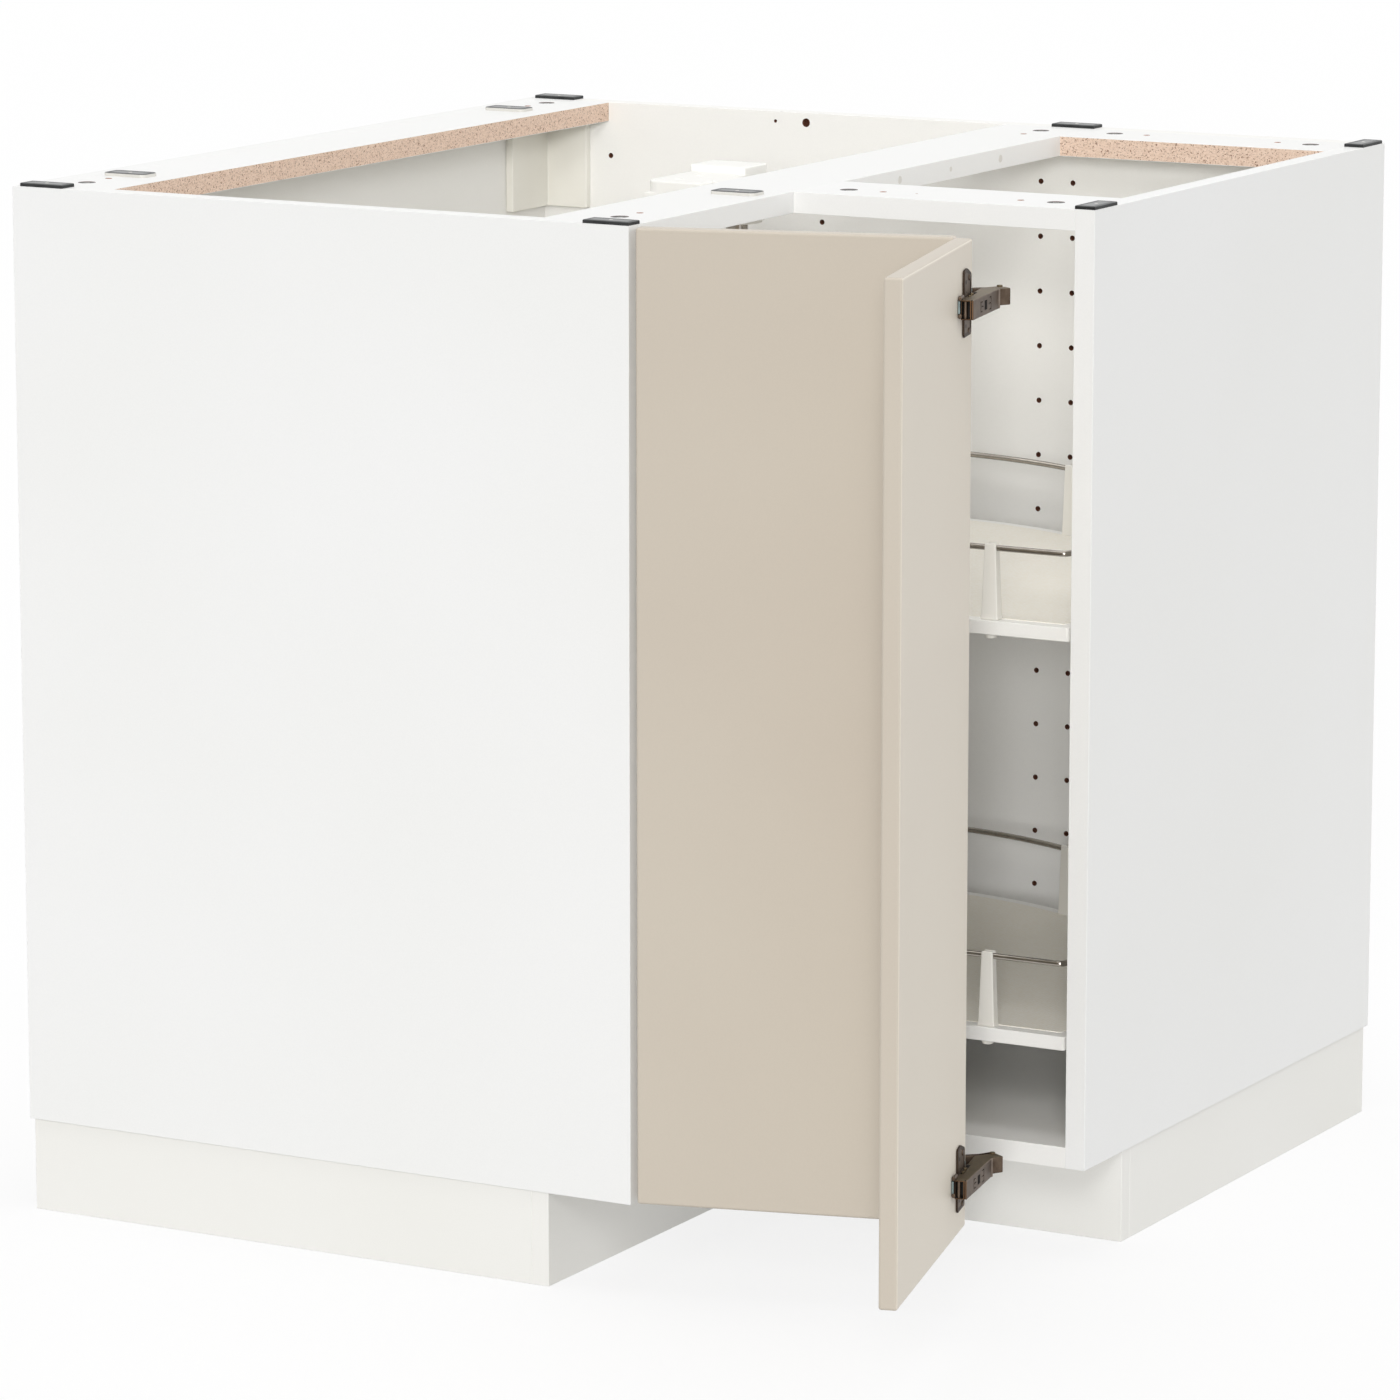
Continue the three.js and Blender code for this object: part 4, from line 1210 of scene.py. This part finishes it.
# An arm on a rounded plate: its back slopes up, its front end goes back down to the panel.
def cabinetArm(height, z):
    node = "cabinet_hinge_arm_" + height
    low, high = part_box(node)
    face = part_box("left_end_panel")[1].y
    long, thick, tall = (size * mm for size in hingeArm["plate"])
    bm = bmesh.new()
    plate = boxMesh(
        Vector((low.x, face, z * mm - tall / 2)),
        Vector((low.x + long, face + thick, z * mm + tall / 2)),
    )
    soften(plate, hingeArm["plateCorner"], 6, edgesAlong(plate, 1))
    soften(plate, hingeArm["plateArris"], 2, creases(plate))
    absorb(bm, plate)
    back = low.x + hingeArm["back"] * mm
    front, top = high.x - hingeArm["gap"] * mm, high.y - hingeArm["gap"] * mm
    chamfer = high.y - hingeArm["chamfer"] * mm
    points = [
        (back, face + hingeArm["heelGap"] * mm),
        (high.x - hingeArm["tip"] * mm, face + hingeArm["tipGap"] * mm),
        (front, face + hingeArm["tipGap"] * mm),
        (front, chamfer),
        (high.x - hingeArm["chamfer"] * mm, top),
        (low.x + hingeArm["slope"] * mm, top),
        (back, chamfer),
    ]
    half = hingeArm["height"] / 2
    arm = outlineMesh(points, (z - half) * mm, (z + half) * mm)
    soften(arm, hingeArm["arris"], 3)
    absorb(bm, arm)
    for x in hingeArm["screws"]:
        centre = Vector((low.x + x * mm, high.y - hingeArm["screwSink"] * mm, z * mm))
        screwHead(bm, centre, (0, 1, 0), hingeArm["screwRadius"], 0, 1)
    x, rise, radius = hingeArm["plateScrews"]
    for side in (-1, 1):
        centre = Vector((low.x + x * mm, face + thick - hingeArm["gap"] * mm, (z + side * rise) * mm))
        screwHead(bm, centre, (0, 1, 0), radius, 0, 1)
    dress(node, "pressing", meshOf(bm, ["zinc", "bronzeShade"]))


for height, z in hingeHeights.items():
    foldPlate(height, z)
    foldArm(height, z)
    foldCup(height, z)
    cabinetCup(height, z)
    cabinetArm(height, z)
print("hinges made")

# ---- Top bearing bracket ----

bracket = {
    "plateThickness": 6.0,
    "plateGap": 0.05,
    "plateArris": 0.8,
    "pastAxis": 68.0,
    "blockPastAxis": 14.0,
    "halfWidth": 40.0,
    "rear": 80.0,
    "frontHeight": 10.0,
    "rearHeight": 16.0,
    "boss": 22.0,
    "bossDrop": 26.0,
    "bossRise": 10.0,
    "bossArris": 1.4,
    "bore": 9.8,
    "boreTop": 4.0,
    "borePast": 2.0,
    "screws": (-46.0, 18.0, 2.2, 5.0),
    "sinking": (1.6, 1.4),
    "rounding": 14.0,
    "arris": 1.6,
}


def bracketBox(xs, ys, zs, radius):
    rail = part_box("rail_middle")[0].z / mm
    low, high = (Vector((xs[i] * mm, ys[i] * mm, (rail + zs[i]) * mm)) for i in (0, 1))
    bm = boxMesh(low, high)
    if radius:
        soften(bm, radius, 3)
    return bm


def topBracket():
    node = "top_bearing_bracket"
    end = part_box(node)[1].x / mm
    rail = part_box("rail_middle")[0].z
    left, right = -bracket["pastAxis"], -bracket["blockPastAxis"]
    half, rear, thick = bracket["halfWidth"], bracket["rear"], bracket["plateThickness"]
    plate = bracketBox((left, end), (-half, half), (-thick, -bracket["plateGap"]), bracket["plateArris"])
    mesh = meshOf(plate, ["bracket"])
    raised = bracketBox((left, right), (-half, rear), (-thick, bracket["frontHeight"]), 0)
    middle = (left + right) / 2 * mm
    rounded = [e for e in edgesAlong(raised, 2) if e.verts[0].co.x < middle and e.verts[0].co.y < 0]
    soften(raised, bracket["rounding"], 8, rounded)
    soften(raised, bracket["arris"], 3, creases(raised, 1.2))
    mesh = combine(mesh, raised, "UNION")
    step = bracketBox((left, right), (half, rear), (0, bracket["rearHeight"]), bracket["arris"])
    mesh = combine(mesh, step, "UNION")
    tall = bracket["bossDrop"] + bracket["bossRise"]
    middle = Vector((0, 0, rail + (bracket["bossRise"] - bracket["bossDrop"]) / 2 * mm))
    boss = cylinderMesh(middle, bracket["boss"], tall, 64)
    soften(boss, bracket["bossArris"], 3, creases(boss))
    mesh = combine(mesh, boss, "UNION")
    drop, rise = bracket["bossDrop"] + bracket["borePast"], bracket["boreTop"]
    bore = Vector((0, 0, rail + (rise - drop) / 2 * mm))
    cutter = cylinderMesh(bore, bracket["bore"], rise + drop, 48)
    x, y, radius, depth = bracket["screws"]
    wider, sunk = bracket["sinking"]
    for side in (-1, 1):
        top = Vector((x * mm, side * y * mm, rail + bracket["frontHeight"] * mm))
        addCylinder(cutter, top, radius, 2 * depth, 20)
        addCylinder(cutter, top, radius + wider, sunk, 24)
    mesh = combine(mesh, cutter, "DIFFERENCE")
    dress(node, "moulding", mesh)


topBracket()
print("top bracket made")

# ---- Light and floor ----

light = {
    "ambient": 0.44,
    "suns": {  # strength, where it shines from and softness in degrees
        "front": (1.25, (0.42, -0.89, 0.17), 10),
        "key": (0.62, (0.37, -0.80, 0.47), 16),
        "above": (0.95, (-0.1, -0.03, 0.99), 50),
        "right": (0.48, (0.87, 0.35, 0.34), 40),
        "left": (0.4, (-0.9, -0.05, 0.43), 40),
        "back": (0.38, (0.25, 0.85, 0.45), 40),
    },
    "floorSize": 30.0,
    "floorWhite": 0.8,
    "floorColour": 0.9,
    "floorBounce": 0.35,  # what the floor sends back to the object
    "floorGlow": 0.15,
}


# One where the camera, a gloss or a clear surface looks, nought for the light that falls on things.
def lookedAt(tree):
    rays = addNode(tree, "LightPath", {})
    seen = rays.outputs["Is Camera Ray"]
    for name in ("Is Glossy Ray", "Is Transmission Ray"):
        either = addNode(tree, "Math", {0: seen, 1: rays.outputs[name]})
        either.operation = "MAXIMUM"
        seen = either.outputs[0]
    return seen


def addWorld():
    world = bpy.data.worlds.new("studio")
    bpy.context.scene.world = world
    world.use_nodes = True
    tree = world.node_tree
    strength = between(tree, lookedAt(tree), light["ambient"], 1.0)
    feed(tree, tree.nodes["Background"], {"Color": linear(white), "Strength": strength})


def addSun(name):
    strength, place, softness = light["suns"][name]
    data = bpy.data.lights.new(name, "SUN")
    data.energy = strength
    data.angle = math.radians(softness)
    sun = addObject(name, data)
    sun.rotation_mode = "QUATERNION"
    sun.rotation_quaternion = Vector(place).to_track_quat("Z", "Y")


def addFloor():
    bm = bmesh.new()
    bmesh.ops.create_grid(bm, x_segments=1, y_segments=1, size=light["floorSize"] / 2)
    mesh = bpy.data.meshes.new("floor")
    bm.to_mesh(mesh)
    bm.free()
    floor = addObject("floor", mesh)
    material = bpy.data.materials.new("floor")
    material.use_nodes = True
    tree = material.node_tree
    seen = lookedAt(tree)
    colour = between(tree, seen, light["floorBounce"], light["floorColour"])
    shader = feed(tree, tree.nodes["Principled BSDF"], {"Roughness": 0.9, "Base Color": colour})
    mix = addNode(tree, "MixShader", {
        "Fac": between(tree, seen, light["floorGlow"], light["floorWhite"]),
        1: shader.outputs["BSDF"],
        2: addNode(tree, "Emission", {}).outputs["Emission"],
    })
    feed(tree, tree.nodes["Material Output"], {"Surface": mix.outputs["Shader"]})
    mesh.materials.append(material)


addWorld()
for name in light["suns"]:
    addSun(name)
addFloor()
bpy.context.scene.view_settings.view_transform = "Standard"
print("light and floor made")
